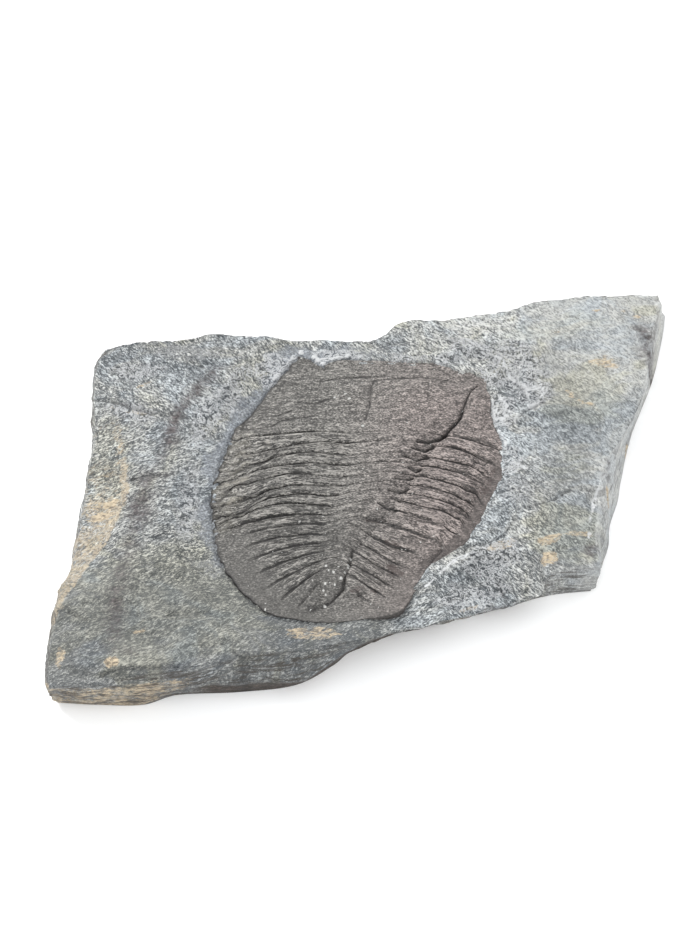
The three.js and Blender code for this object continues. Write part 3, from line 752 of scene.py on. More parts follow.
def make_shell():
    mesh, grid = make_blank("trilobite_shell", SHELL_COLUMNS, SHELL_ROWS, SHELL_RINGS, open_side=True)
    s = grid[:, 0]
    v = even_stations((1 - grid[:, 1]) / 2)
    x, y, side = lay_out_shell(s, v)
    still = np.zeros(x.shape)
    crumple = lumps(x, y, still, 2.4, 4, stretch=1.8, seed=3.0)
    drift = lumps(x, y, still, 5.0, 3, stretch=1.5, seed=7.0)
    pores = lumps(x, y, still, 0.9, 3, stretch=1.4, seed=5.0)
    tips = smooth((side - 0.66) / 0.22) * between(v, 2.6, 1, 10.5, 2) * (s < 0)
    crushed = between(side, 0.5, 0.2, 0.8, 0.1) * between(v, 3, 1, 11, 2) * (s > 0)
    station = shell_stations(s, v, x, y) + 0.05 * drift + (0.3 * tips + 0.16 * crushed) * crumple
    firm = np.clip(0.85 + 1.0 * drift, 0.25, 1.3)
    gutter = (s > 0) * smooth((side - 0.81) / 0.06) * between(v, 3.6, 0.8, 13, 1)
    segments = segment_relief(station, s, side, firm) + tail_relief(station, s, side, v)
    segments = segments * (1 - gutter) - 0.15 * gutter
    pits = deepest(PITS, x, y, 0.2 * crumple)
    cracks = deepest(CRACKS, x, y, 0.7 * crumple)
    creases = deepest([(line, CREASE_WIDTH, CREASE_DEPTH) for line in CREASES], x, y, 0.6 * crumple)
    beads = deepest([([bead, bead], BEAD_SIZE, 1.0) for bead in BEADS], x, y, 0.4 * pores)
    dents = np.zeros(x.shape)
    for oval in HOLLOWS:
        dents = np.maximum(dents, smooth(inside_oval(oval, x, y)))
    height = shell_relief(s, v, side) + segments - pits - cracks - creases
    height += 0.28 * crumple * tips + 0.2 * crumple * crushed + 0.07 * pores + 0.09 * drift
    in_head = 1 - smooth((v - 2.4) / 0.6)
    height += 0.12 * in_head * crumple - HOLLOW_DEPTH * dents + BEAD_RISE * beads
    edge_wander = smooth((side - 0.8) / 0.2) + (1 - smooth(v / 0.7))
    off_tip = grid[:, 1] > -0.999
    x = x + np.where(s < 0, 0.6, 0.35) * edge_wander * crumple * off_tip
    y = y + 0.25 * edge_wander * drift * off_tip
    skirt = np.interp(-grid[:, 2], [1, SHELL_RINGS], [SKIRT_TOP, SHELL_UNDERSIDE])
    height = np.where(grid[:, 2] < -0.5, skirt, height)
    write_line_masks(mesh, s, v, side, station, firm, gutter)
    # Painted shade in the pits, cracks, creases and dents.
    write_mask(mesh, "hollow_shade", 2.2 * (pits + cracks) + 4.6 * creases + 0.4 * dents)
    write_mask(mesh, "tips", tips)
    write_mask(mesh, "stain", paint(STAINS, x, y, crumple))
    write_mask(mesh, "blotch", paint(LEFT_BLOTCHES, x, y, crumple))
    write_mask(mesh, "bead", beads)
    write_mask(mesh, "warm", smooth((x + 12) / 22) * (1 - 0.4 * smooth((y - 12) / 10)))
    write_mask(mesh, "light", shell_lightness(s, v, x, in_head))
    write_points(mesh, np.stack([x, y, height], axis=1))
    close_tray(mesh)
    return add_piece("trilobite_shell", mesh, "trilobite")


shell = make_shell()

# %% [markdown]
# ## The slab's shape
# The slab broke along its bedding. Its top is nearly flat but flaky, its edges step down in layers,
# and around the shell the rock was scraped away, most on the left. The rules below are the solid's
# own rules with finer relief on top: terraces for the flakes, lumps for the grain, and layers that
# stand in and out of the walls.

# %% Layout of the slab
SLAB_COLUMNS = 290
SLAB_ROWS = 240
SLAB_RINGS = 14
TOP_LEFT = 8.0
TOP_RIGHT = 7.25
BANK_LEFT = (6.5, 1.6)
BANK_RIGHT = (2.0, 0.45)
CHIP = (-51.7, -7.7, 9.0, 20.0, 0.0)
CHIP_DEPTH = 1.5
CRACK_START = (11.1, -18.5)
CRACK_END = (34.3, -6.0)
CRACK_DROP = 0.45
SCARS = [
    ((22.3, 14.3, 4.5, 10.5, -0.25), 0.4), ((-38.2, 20.3, 9.0, 4.5, 0.2), 0.35),
    ((-31.2, -35.2, 11.0, 4.0, 0.15), 0.4), ((34.8, 20.8, 7.0, 9.0, -0.5), 0.3),
    ((-38.7, -18.2, 4.0, 10.0, 0.1), 0.3), ((16.3, -23.7, 8.0, 3.2, 0.3), 0.35),
]
CREVICES = [
    ([(-50.6, 14.6), (-48.1, 14.0), (-46.2, 13.2), (-43.1, 11.3), (-40.5, 10.8)], 0.3, 0.5),
    ([(33.9, -6.4), (29.2, -6.8), (27.2, -8.2), (24.4, -9.3), (22.2, -10.0)], 0.2, 0.35),
    ([(20.4, -12.8), (19.3, -14.2), (18.1, -16.1), (15.3, -17.6), (12.4, -17.9), (11.6, -19.3)], 0.2, 0.4),
    ([(-43.1, -4.1), (-42.2, -3.7), (-39.6, -3.0), (-37.5, -4.1)], 0.2, 0.25),
    ([(14.4, -19.6), (14.8, -20.6)], 0.2, 0.3), ([(17.0, -24.3), (18.3, -28.5)], 0.25, 0.4),
    ([(3.8, -26.2), (4.3, -27.8)], 0.25, 0.5),
    ([(-50.2, -31.6), (-48.0, -32.8), (-47.2, -33.2)], 0.25, 0.4),
    ([(22.1, 10.2), (24.1, 12.0), (25.7, 13.2), (27.6, 14.4)], 0.2, 0.35),
    ([(23.1, 19.9), (24.0, 17.4), (24.3, 15.0)], 0.22, 0.3),
    ([(-24.1, -39.0), (-20.3, -40.0), (-15.4, -39.4), (-9.7, -38.6)], 0.35, 0.45),
    ([(-43.6, -42.8), (-41.6, -42.2), (-37.0, -42.4), (-31.0, -41.8)], 0.35, 0.45),
]


def bank_share(x, y):
    """0 at the shell's margin and 1 at the outer edge of the scraped bank, with the distance in mm."""
    to_right = smooth((x + 18) / 26)
    width = BANK_LEFT[0] + (BANK_RIGHT[0] - BANK_LEFT[0]) * to_right
    away = distance_to(SHELL_OUTLINE, x, y, closed=True)
    return away / width, away, to_right


def inside_loop(loop, x, y):
    within = np.zeros(x.shape, dtype=bool)
    for (ax, ay), (bx, by) in zip(loop, loop[1:] + loop[:1]):
        if ay != by:
            within ^= ((ay > y) != (by > y)) & (x < (bx - ax) * (y - ay) / (by - ay) + ax)
    return within


def slab_top(x, y, u, w, share, to_right):
    """The solid's own top: a gentle slope and swells, the bank, chip, scars, crack and rounded rims."""
    height = TOP_LEFT + (TOP_RIGHT - TOP_LEFT) * smooth((x + 45) / 80)
    height += 0.18 * np.sin(0.21 * x + 0.13 * y + 1) + 0.14 * np.sin(0.33 * y - 0.17 * x + 2)
    height += 0.1 * np.sin(0.55 * x + 0.48 * y)
    bank_depth = BANK_LEFT[1] + (BANK_RIGHT[1] - BANK_LEFT[1]) * to_right
    height -= np.where(share < 1, bank_depth * (1 - np.minimum(share, 1) ** 1.7), 0.0)
    height -= CHIP_DEPTH * smooth(inside_oval(CHIP, x, y) / 0.8)
    for oval, drop in SCARS:
        height -= drop * smooth(inside_oval(oval, x, y) / 0.35)
    run = np.array(CRACK_END) - np.array(CRACK_START)
    run = run / np.hypot(*run)
    below = (x - CRACK_START[0]) * run[1] - (y - CRACK_START[1]) * run[0]
    height -= CRACK_DROP * smooth(below / 1.4) * smooth((x - CRACK_START[0] + 2) / 4)
    corner = 0.9 * smooth((-40 - x) / 8)
    slope = 1.35 * smooth((x + 7) / 6) * smooth((26 - x) / 2)
    height -= (0.35 + corner) * (1 - smooth(w / 0.05)) + slope * (1 - smooth(w / 0.13))
    height -= 0.4 * smooth((w - 0.92) / 0.08) + 0.2 * smooth((u - 0.97) / 0.03)
    height += 0.9 * smooth((u + w - 1.7) / 0.25)
    height -= 0.4 * smooth((0.03 - u) / 0.03)
    return height


beside_shell = bank_share(np.array([-35.0]), np.array([-10.0]))[1][0]
print("a point on the carved bank is", round(beside_shell, 1), "mm from the shell")

# %% [markdown]
# ## Marks on the slab
# Weather and breakage left coloured patches: an ochre chip along the left edge, pale bruised flakes
# around the shell, purple streaks and a few rust spots. Each is drawn as a few ovals or a line in
# millimetres. The masks are kept on the mesh's points, and the finish breaks up their edges.

# %% Patches of colour
CHIP_EDGE = [
    (-46.2, 10.6), (-44.8, 5.1), (-43.9, 1.2), (-43.1, -5.1), (-43.0, -8.8), (-44.3, -13.5), (-45.3, -17.1),
    (-46.4, -19.4), (-47.8, -23.3), (-49.5, -27.2), (-50.4, -29.1), (-51.8, -33.0),
]
OCHRE_SPOTS = [
    (-47.6, -10.6, 4.0, 3.0, -0.2, 0.42), (-47.4, -11.2, 2.2, 1.0, 0.2, 0.9),
    (-46.0, -8.8, 1.4, 0.8, 0.5, 0.8), (-48.8, -9.0, 1.2, 0.6, 0.0, 0.7),
    (-48.4, -2.6, 2.6, 4.6, 0.0, 0.22), (-12.4, -34.9, 4.4, 1.6, 0.0, 0.5),
    (-42.6, -41.2, 1.2, 0.8, 0.0, 0.8), (-38.9, -35.2, 1.4, 0.5, 0.2, 0.6),
    (25.4, -20.0, 1.6, 1.6, 0.2, 0.7), (25.7, -16.4, 2.2, 1.0, 0.2, 0.6),
    (30.8, -15.2, 3.0, 0.8, 0.1, 0.5), (17.6, -18.0, 2.4, 1.0, 0.3, 0.5),
    (39.4, 24.6, 2.9, 1.8, -0.2, 0.55), (32.1, 16.4, 0.8, 1.4, 0.4, 0.5),
    (34.8, 13.6, 2.2, 0.5, -0.5, 0.6), (36.4, -6.2, 0.5, 1.6, 0.0, 0.9), (41.9, 8.0, 0.5, 0.9, 0.0, 0.9),
    (-50.6, -40.4, 1.0, 3.0, 0.0, 0.5), (46.1, 36.0, 0.9, 0.5, 0.0, 0.6),
    (43.7, 37.0, 0.7, 0.4, 0.0, 0.6), (38.7, 36.8, 0.7, 0.4, 0.0, 0.6), (31.2, 32.0, 0.7, 0.4, 0.0, 0.6),
    (-47.9, 12.4, 2.2, 0.5, -0.2, 0.45), (-43.6, 10.9, 2.2, 0.5, -0.2, 0.45),
    (-42.8, 18.0, 2.2, 0.4, 0.6, 0.4), (11.9, -29.3, 2.0, 0.5, 0.3, 0.5),
]
GREEN_SPOTS = [
    (28.6, -14.6, 7.0, 6.4, 0.3, 1.0), (35.0, 15.0, 9.0, 6.0, 0.6, 0.8), (30.0, 33.0, 12.0, 3.0, 0.2, 0.4),
    (-36.0, -30.0, 18.0, 13.0, 0.0, 0.8), (-47.0, 0.0, 4.0, 10.0, 0.0, 0.7),
]
BLUE_SPOTS = [
    (30.5, 8.5, 7.5, 5.0, 0.0, 1.0), (22.6, 15.6, 3.6, 5.0, 0.2, 0.8), (28.0, -1.0, 6.0, 4.0, 0.2, 0.5),
    (12.0, -23.6, 6.0, 2.6, 0.4, 0.7), (22.0, 30.0, 7.0, 3.0, 0.2, 0.5), (-34.0, 10.0, 3.0, 9.0, 0.0, 0.6),
]
FLAKY_SPOTS = [
    (-44.8, 11.4, 5.4, 1.6, -0.3, 0.9), (-44.0, 21.0, 6.0, 2.0, 0.3, 0.6),
    (-30.0, 12.0, 3.0, 8.0, -0.4, 0.5), (22.6, 22.6, 5.4, 7.4, 0.3, 1.0),
    (16.6, 26.6, 6.0, 2.6, -0.4, 1.0), (25.8, 17.0, 4.0, 3.4, 0.3, 1.0), (19.8, 12.6, 2.6, 4.6, 0.0, 1.0),
    (20.4, 0.8, 2.4, 3.0, 0.0, 1.0), (-19.6, 22.8, 4.0, 4.0, 0.6, 1.0),
    (-27.4, 17.8, 2.0, 6.0, -0.5, 0.8), (-32.0, 7.6, 2.0, 5.6, -0.2, 0.6),
    (-33.4, -8.0, 2.0, 8.6, 0.0, 0.5), (12.8, -26.8, 7.0, 3.0, 0.4, 0.8),
    (15.6, -20.6, 6.0, 2.6, 0.4, 1.0), (-45.6, 21.8, 4.0, 1.2, 0.1, 0.6),
    (-36.0, 26.0, 6.0, 2.4, 0.0, 0.3), (-29.0, -22.0, 3.0, 2.0, 0.0, 0.2),
    (-9.4, 27.0, 5.0, 1.2, -0.1, 0.9), (8.4, 25.0, 7.0, 1.2, -0.1, 0.7), (21.0, -6.0, 3.0, 3.0, 0.0, 0.4),
]
PURPLE_LINES = [
    ([(-30.6, 21.5), (-32.7, 18.2), (-33.9, 15.0), (-36.1, 11.8), (-36.8, 8.2), (-37.3, 4.7)], 1.1, 1.0),
    ([(-37.3, 4.7), (-39.5, -1.0), (-40.5, -4.6)], 0.9, 0.5),
    ([(-40.5, -4.6), (-40.7, -8.4), (-41.2, -11.8)], 1.9, 0.9),
    ([(-41.2, -11.8), (-42.1, -21.6), (-43.1, -25.6)], 1.3, 0.6),
    ([(-43.1, -27.6), (-43.0, -31.1), (-42.6, -36.2)], 1.5, 0.8),
    ([(-41.7, -39.0), (-39.6, -39.6)], 1.0, 0.6),
    ([(-40.4, -3.6), (-36.6, -3.0)], 0.8, 0.4), ([(47.0, 31.6), (47.3, 29.0), (47.5, 26.6)], 1.7, 1.0),
    ([(32.3, -18.2), (32.2, -19.4)], 0.9, 0.9), ([(37.0, 0.4), (36.6, -2.4)], 0.8, 0.5),
]
PALE_SPOTS = [
    (-20.4, 24.0, 4.0, 3.0, 0.5, 0.3), (-27.5, 21.0, 3.6, 4.6, 0.4, 0.14),
    (-33.0, 3.0, 3.4, 4.4, 0.0, 0.14), (-31.0, -17.0, 3.4, 6.4, -0.1, 0.1),
    (21.0, 26.6, 2.6, 3.0, 0.0, 0.2), (26.8, 17.2, 2.4, 1.4, 0.3, 0.2), (23.2, 23.6, 2.2, 1.6, 0.0, 0.2),
    (20.6, 12.6, 2.4, 3.4, 0.0, 0.1), (19.6, 1.0, 1.6, 1.6, 0.0, 0.3), (12.4, -28.6, 3.4, 1.2, 0.3, 0.25),
    (19.4, -14.6, 3.0, 1.4, 0.3, 0.25), (9.6, -21.6, 3.2, 1.6, 0.2, 0.2),
    (3.0, -31.6, 7.0, 1.0, 0.25, 0.1), (41.0, 33.0, 9.0, 7.0, 0.1, 0.08),
    (-46.5, 21.5, 3.4, 1.4, 0.2, 0.12),
]
DARK_SPOTS = [
    (30.5, 8.5, 7.5, 5.0, 0.0, 0.22), (21.5, 16.5, 3.6, 4.6, 0.2, 0.3),
    (-29.9, 6.8, 1.2, 2.6, -0.5, 0.25), (-12.0, -39.4, 12.0, 1.6, 0.06, 0.12),
    (-39.8, -43.0, 4.4, 0.9, 0.04, 0.3), (-49.0, 16.4, 3.6, 1.8, -0.3, 0.16),
    (-1.0, 29.2, 18.0, 2.2, 0.12, 0.1), (-10.0, -35.6, 14.0, 3.6, 0.08, 0.2),
    (-26.0, -33.0, 10.0, 5.0, 0.1, 0.05), (-22.0, -28.0, 8.0, 4.5, 0.1, 0.1),
    (-42.0, 24.0, 12.0, 7.0, 0.0, 0.18), (26.0, -2.0, 8.0, 6.0, 0.1, 0.06),
    (12.0, -24.6, 8.0, 3.4, 0.4, 0.14),
]
BRUISES = [
    [(22.1, 10.5), (24.1, 12.3), (25.7, 13.5), (27.1, 14.4)], [(23.4, 19.9), (24.3, 17.4), (24.6, 15.0)],
    [(18.1, 15.6), (18.9, 11.1), (20.1, 10.2), (20.9, 12.6), (19.7, 15.9)],
    [(-11.5, 25.6), (-8.0, 26.2), (-4.4, 26.4)], [(-16.6, 26.6), (-19.4, 22.0), (-22.0, 19.0)],
    [(7.7, 25.6), (10.0, 23.6), (13.5, 21.6), (15.8, 20.0), (17.2, 17.6), (18.2, 10.3), (19.4, 6.3)],
    [(20.3, 25.2), (22.3, 20.1), (25.1, 17.6), (28.2, 19.3)], [(28.2, 19.3), (27.3, 15.9), (22.8, 11.1)],
    [(14.5, 29.5), (17.4, 26.9), (20.3, 25.2)], [(19.9, 5.5), (20.4, 0.9), (23.1, -1.0)],
    [(-47.3, -24.2), (-45.8, -24.8), (-44.1, -27.0)],
    [(39.4, 1.3), (36.6, -1.7), (35.2, -3.9), (34.5, -6.1), (32.7, -12.4), (32.0, -16.6)],
    [(18.6, 0.4), (19.8, -1.6), (21.2, -1.0)], [(5.6, -25.6), (9.8, -21.4), (13.6, -18.6)],
]
PEBBLES = [(-15.5, 27.6), (-12.5, 25.5), (-11.4, 24.5), (-8.6, 26.1), (-6.9, 26.7), (-13.0, 26.4)]
PEBBLE_SIZE = 0.55
PEBBLE_RISE = 0.35
BRUISE_WIDTH = 0.24


def chip_share(x, y, ragged):
    """How stained the chip is: most along its drawn right edge and towards its front end."""
    edge_x, edge_y = np.array(CHIP_EDGE).T
    limit = np.interp(-y, -edge_y, edge_x)
    inward = limit - x + 0.6 * ragged
    along_edge = smooth(inward / 0.8) * (0.75 - 0.5 * smooth((inward - 1.0) / 1.6))
    towards_front = smooth(inward / 0.8) * 0.6 * smooth((-10.0 - y) / 5)
    reach = smooth((edge_y[0] - y + ragged) / 2) * smooth((y + 33.5) / 2)
    return np.maximum(along_edge, towards_front) * reach * (0.6 + 0.4 * smooth((2.0 - y) / 4))


def paleness_and_painted_light(x, y):
    """How pale the bare rock is: it grows lighter towards the back and the right, partly the rock's own tone
    and partly painted light.
    """
    across, along = smooth((x + 30) / 80), smooth((y + 35) / 75)
    return 0.49 + 0.01 * along + 0.1 * across + 0.45 * across * along


print(len(OCHRE_SPOTS), "ochre spots,", len(PALE_SPOTS), "pale ones and", len(BRUISES), "bruises")

# %% [markdown]
# ## Building the slab
# The top is the sum of the solid's own rules and the fine texture. The rings below it are spread
# over the walls, from the crest over the shoulder to the base, and flattened noise makes layers that
# stand in and out. Every point is kept a little inside the solids' box.

# %% Build the slab
SHOULDER_LEVEL = 0.5
EDGE_ROOM = 0.06
CORNER_PULL = (0.3, 0.4)
SEAT_LEFT = 6.3
SEAT_RIGHT = 6.45
BED_DEPTH = 1.2
GROOVE_DEPTH = 0.3


def slab_texture(x, y, share):
    """Flaky terraces and grain on the top, calmer on the smooth bank."""
    rough = 0.2 + 0.8 * smooth((share - 0.75) / 0.3)
    still = np.zeros(x.shape)
    flakes = ledges(lumps(x - 0.4 * y, y, still, 7.0, 6, stretch=1.7, seed=11.0), 4.0)
    splinters = lumps(x + 0.5 * y, y, still, 1.9, 5, stretch=2.6, seed=12.0)
    grain = lumps(x, y, still, 1.1, 3, seed=13.0)
    return rough * (0.75 * flakes + 0.34 * splinters) + 0.14 * grain * (0.3 + 0.7 * rough), splinters


def slab_places(u, w, level, crest, height):
    """Spreads the rings over the walls. Level is 1 on the top and 0 at the base. The last value
    it gives is the noise of the broken chunks."""
    shoulder, base = patch(SHOULDER, u, w), patch(BASE, u, w)
    below = np.clip((1 - level) / SHOULDER_LEVEL, 0, 1)
    upper = np.clip((level - SHOULDER_LEVEL) / SHOULDER_LEVEL, 0, 1)[:, None]
    lower = np.clip(level / SHOULDER_LEVEL, 0, 1)[:, None]
    above = level >= SHOULDER_LEVEL
    over, under = shoulder + (crest - shoulder) * upper, base + (shoulder - base) * lower
    x, y = np.where(above[:, None], over, under).T
    rounded = 0.5 + 0.5 * np.sqrt(1 - below**2)
    round_share = np.maximum(smooth((u - 0.9) / 0.08), smooth((w - 0.9) / 0.08))
    z = height * np.where(above, level + (rounded - level) * round_share, level)
    layers = lumps(x, y, z * 6.0, 8.0, 4, seed=21.0)
    chunks = lumps(x, y, z, 4.0, 4, seed=22.0)
    outward = (0.5 * layers + 0.25 * chunks) * np.minimum(2.0 * np.sin(math.pi * np.clip(level, 0, 1)), 1.0)
    outward = outward * (level < 0.999)
    corner = smooth((u + w - 1.93) / 0.07)
    x, y = x - CORNER_PULL[0] * corner, y - CORNER_PULL[1] * corner
    reach = np.hypot(x, y)
    x = x + outward * x / reach
    y = y + outward * y / reach
    x = np.clip(x, cad_low[0] / MM + EDGE_ROOM, cad_high[0] / MM - EDGE_ROOM)
    y = np.clip(y, cad_low[1] / MM + EDGE_ROOM, cad_high[1] / MM - EDGE_ROOM)
    return x, y, np.clip(z, 0.0, cad_high[2] / MM - EDGE_ROOM), chunks


def write_wall_masks(mesh, x, z, u, w, wall):
    """Painted light on the right wall, and the brown foot of the front one with painted shadow on it. Gives
    the front wall's own mask.
    """
    front = np.maximum(wall * (w < 0.03), smooth((0.012 - w) / 0.012))
    right_wall = np.maximum(wall * smooth((u - 0.94) / 0.05), 0.35 * front * smooth((x - 22) / 3))
    # Painted light on the right wall, which faces away from the lamp.
    write_mask(mesh, "rim_light", right_wall)
    write_mask(mesh, "wall", wall * (1 - 0.5 * right_wall))
    # The under mask is the brown foot of the front wall, darkened with painted shadow under the upper bed.
    write_mask(mesh, "under", front * between(x, -33, 6, 20, 4) * smooth((3.6 - z) / 1.2))
    return front


def write_patch_masks(mesh, x, y, splinters):
    """The patches of colour, and where the streaks lean down to the right or are faint."""
    write_mask(mesh, "purple", deepest(PURPLE_LINES, x, y, 0.6 * splinters))
    write_mask(mesh, "chip", chip_share(x, y, splinters))
    write_mask(mesh, "green", paint(GREEN_SPOTS, x, y, splinters))
    write_mask(mesh, "blue", paint(BLUE_SPOTS, x, y, splinters))
    swirl = lumps(x, y, np.zeros(x.shape), 6.0, 4, seed=31.0)
    downhill = smooth((y + 0.4 * x + 14) / 14) * (1 - 0.8 * smooth((-14 - y) / 10) * smooth((-12 - x) / 10))
    downhill = np.maximum(downhill, smooth((x - 2) / 8))
    write_mask(mesh, "steep", smooth((downhill - 0.35 + 0.5 * swirl) / 0.2))
    lower_left = 0.5 * smooth((-16 - y) / 12) * smooth((6 - x) / 14)
    write_mask(mesh, "calm", np.maximum(lower_left, 0.45 * smooth((x - 20) / 10)))


def make_slab():
    mesh, grid = make_blank("mudstone_slab", SLAB_COLUMNS, SLAB_ROWS, SLAB_RINGS)
    u, w = (grid[:, 0] + 1) / 2, (grid[:, 1] + 1) / 2
    level = 1 + grid[:, 2] / SLAB_RINGS
    crest = patch(CREST, u, w)
    top_x, top_y = crest.T
    share, away, to_right = bank_share(top_x, top_y)
    texture, splinters = slab_texture(top_x, top_y, share)
    crevices = deepest(CREVICES, top_x, top_y, 0.8 * splinters)
    pebble_marks = [([pebble, pebble], PEBBLE_SIZE, 1.0) for pebble in PEBBLES]
    pebbles = deepest(pebble_marks, top_x, top_y, 0.5 * splinters)
    height = slab_top(top_x, top_y, u, w, share, to_right) + texture - crevices + PEBBLE_RISE * pebbles
    within = inside_loop(SHELL_OUTLINE, top_x, top_y)
    seat = np.where(to_right < 0.5, SEAT_LEFT, SEAT_RIGHT)
    height = np.where(within, np.minimum(height, seat) - BED_DEPTH * smooth((away - 0.5) / 1.5), height)
    groove = GROOVE_DEPTH * ridge(away - 0.15, 0.3) * (1 - 0.6 * to_right)
    height -= np.where(within, 0.0, groove)
    x, y, z, chunks = slab_places(u, w, level, crest, height)
    front = write_wall_masks(mesh, x, z, u, w, level < 0.999)
    tan = front * smooth((-29 - x) / 5) * smooth((6.6 - z) / 1.2) * (0.85 + 0.5 * chunks)
    write_mask(mesh, "ochre", np.maximum(paint(OCHRE_SPOTS, x, y, splinters), 0.66 * tan))
    # The pale mask carries painted light that grows towards the back and the right.
    pale = paleness_and_painted_light(x, y) + paint(PALE_SPOTS, x, y, splinters) - paint(DARK_SPOTS, x, y, splinters)
    # The pale mask is painted darker in the crevices and paler on the raised splinters, as painted shade and
    # highlight.
    write_mask(mesh, "pale", pale - 0.18 * crevices + 0.1 * splinters)
    bruise = 0.85 * deepest([(line, BRUISE_WIDTH, 1.0) for line in BRUISES], x, y, 2.6 * splinters)
    write_mask(mesh, "bruise", np.maximum(bruise, smooth((pebbles - 0.3) / 0.3)))
    write_mask(mesh, "flaky", paint(FLAKY_SPOTS, x, y, splinters) * (1 - within))
    write_patch_masks(mesh, x, y, splinters)
    bank_width = 2.7 + 0.9 * np.sin(0.5 * top_y + 1.2) + 0.03 * top_y + 1.4 * splinters
    bank = smooth((bank_width - away) / 1.2) * (1 - to_right) * smooth((top_y + 22.0 + splinters) / 1.0)
    write_mask(mesh, "bank", bank)
    # A painted shadow line where the bank meets the shell.
    seam = ridge(away, 0.32) * (1 - within) * (1 - 0.5 * to_right)
    write_mask(mesh, "hollow_shade", 1.4 * crevices + 0.9 * seam)
    write_points(mesh, np.stack([x, y, z], axis=1))
    close_tray(mesh)
    return add_piece("mudstone_slab", mesh, "matrix_slab")


slab = make_slab()

# %% [markdown]
# ## Finishes
# Both stones are built from the same shared effect: a mottle of fine and coarse noise that gives a
# colour between a dark and a pale tone, and a height for the bump. Each stone places it with its
# own tones and sizes and lays its own marks over it. Colours are written as they look on screen in
# plain daylight and turned into the stone's own reflectance, which leaves out the light's strength.

# %% Helpers for node trees
LIGHT_LEVEL = 2.13


def seen(red, green, blue):
    """The reflectance that looks like this screen colour under the scene's light."""
    screen = np.array([red, green, blue]) / 255.0
    linear = np.where(screen <= 0.04045, screen / 12.92, ((screen + 0.055) / 1.055) ** 2.4)
    return (*np.minimum(linear / LIGHT_LEVEL, 1.0), 1.0)


def add_node(tree, kind, **settings):
    node = tree.nodes.new(kind)
    for name, value in settings.items():
        setattr(node, name, value)
    return node


def feed(tree, node, socket, source):
    """Sets a socket to a plain value, or links it when the source is another node's output."""
    if isinstance(source, bpy.types.NodeSocket):
        tree.links.new(source, node.inputs[socket])
    else:
        node.inputs[socket].default_value = source


def place_at(tree, coordinates, stretch, turn=0.0):
    """Turns a pattern by an angle in radians and makes it this many times as long on its own axes."""
    mapping = add_node(tree, "ShaderNodeMapping", vector_type="TEXTURE")
    mapping.inputs["Scale"].default_value = stretch
    mapping.inputs["Rotation"].default_value = (0.0, 0.0, turn)
    tree.links.new(coordinates, mapping.inputs["Vector"])
    return mapping.outputs["Vector"]


def noise_map(tree, coordinates, scale, detail=6.0, rough=0.6, twist=0.0):
    texture = add_node(tree, "ShaderNodeTexNoise")
    texture.inputs["Scale"].default_value = scale
    texture.inputs["Detail"].default_value = detail
    texture.inputs["Roughness"].default_value = rough
    texture.inputs["Distortion"].default_value = twist
    tree.links.new(coordinates, texture.inputs["Vector"])
    return texture.outputs["Fac"]


def math_node(tree, operation, first, second=0.5, clamp=False):
    node = add_node(tree, "ShaderNodeMath", operation=operation, use_clamp=clamp)
    feed(tree, node, 0, first)
    feed(tree, node, 1, second)
    return node.outputs[0]


def times(tree, first, second, clamp=False):
    return math_node(tree, "MULTIPLY", first, second, clamp)


def plus(tree, first, second, clamp=False):
    return math_node(tree, "ADD", first, second, clamp)


def minus(tree, first, second):
    return math_node(tree, "SUBTRACT", first, second)


def remap(tree, value, low, high, to_low=0.0, to_high=1.0):
    node = add_node(tree, "ShaderNodeMapRange")
    feed(tree, node, "Value", value)
    feed(tree, node, "From Min", low)
    feed(tree, node, "From Max", high)
    feed(tree, node, "To Min", to_low)
    feed(tree, node, "To Max", to_high)
    return node.outputs["Result"]


def blend(tree, factor, first, second, kind="MIX"):
    node = add_node(tree, "ShaderNodeMix", data_type="RGBA", blend_type=kind)
    feed(tree, node, "Factor", factor)
    feed(tree, node, 6, first)
    feed(tree, node, 7, second)
    return node.outputs[2]


print("middle grey on screen is a reflectance of", round(seen(128, 128, 128)[0], 3))

# %% [markdown]
# ## Effects that both stones share
# Split stone is never one colour. It is grain between a dark and a pale tone, crossed by the thin
# edges of flakes. The mottle group gives that grain as a colour and a height, and its power keeps
# most of the surface near the dark tone with a few bright flecks. Its colour follows its height, so
# low places are painted darker and raised flake edges paler: painted shade and highlight on top of
# the grain's own tone. The other group turns the soft edge of a mask into grains, so that no stain
# looks sprayed on. Scales are in waves per metre.

# %% Shared effects
def new_group(name, given, wanted):
    group = bpy.data.node_groups.new(name, "ShaderNodeTree")
    for socket, kind in given:
        group.interface.new_socket(socket, in_out="INPUT", socket_type="NodeSocket" + kind)
    for socket, kind in wanted:
        group.interface.new_socket(socket, in_out="OUTPUT", socket_type="NodeSocket" + kind)
    return group, add_node(group, "NodeGroupInput").outputs, add_node(group, "NodeGroupOutput").inputs


def thin_line(tree, value, level, width):
    """1 where the value crosses the level, falling to 0 within the width."""
    gap = math_node(tree, "ABSOLUTE", minus(tree, value, level))
    return remap(tree, gap, 0.0, width, 1.0, 0.0)


EYE_POWER = 3.3
RELIEF_SCALE = 900.0
GRAIN_SCALE = 3100.0
FLAKE_SCALE = 1500.0


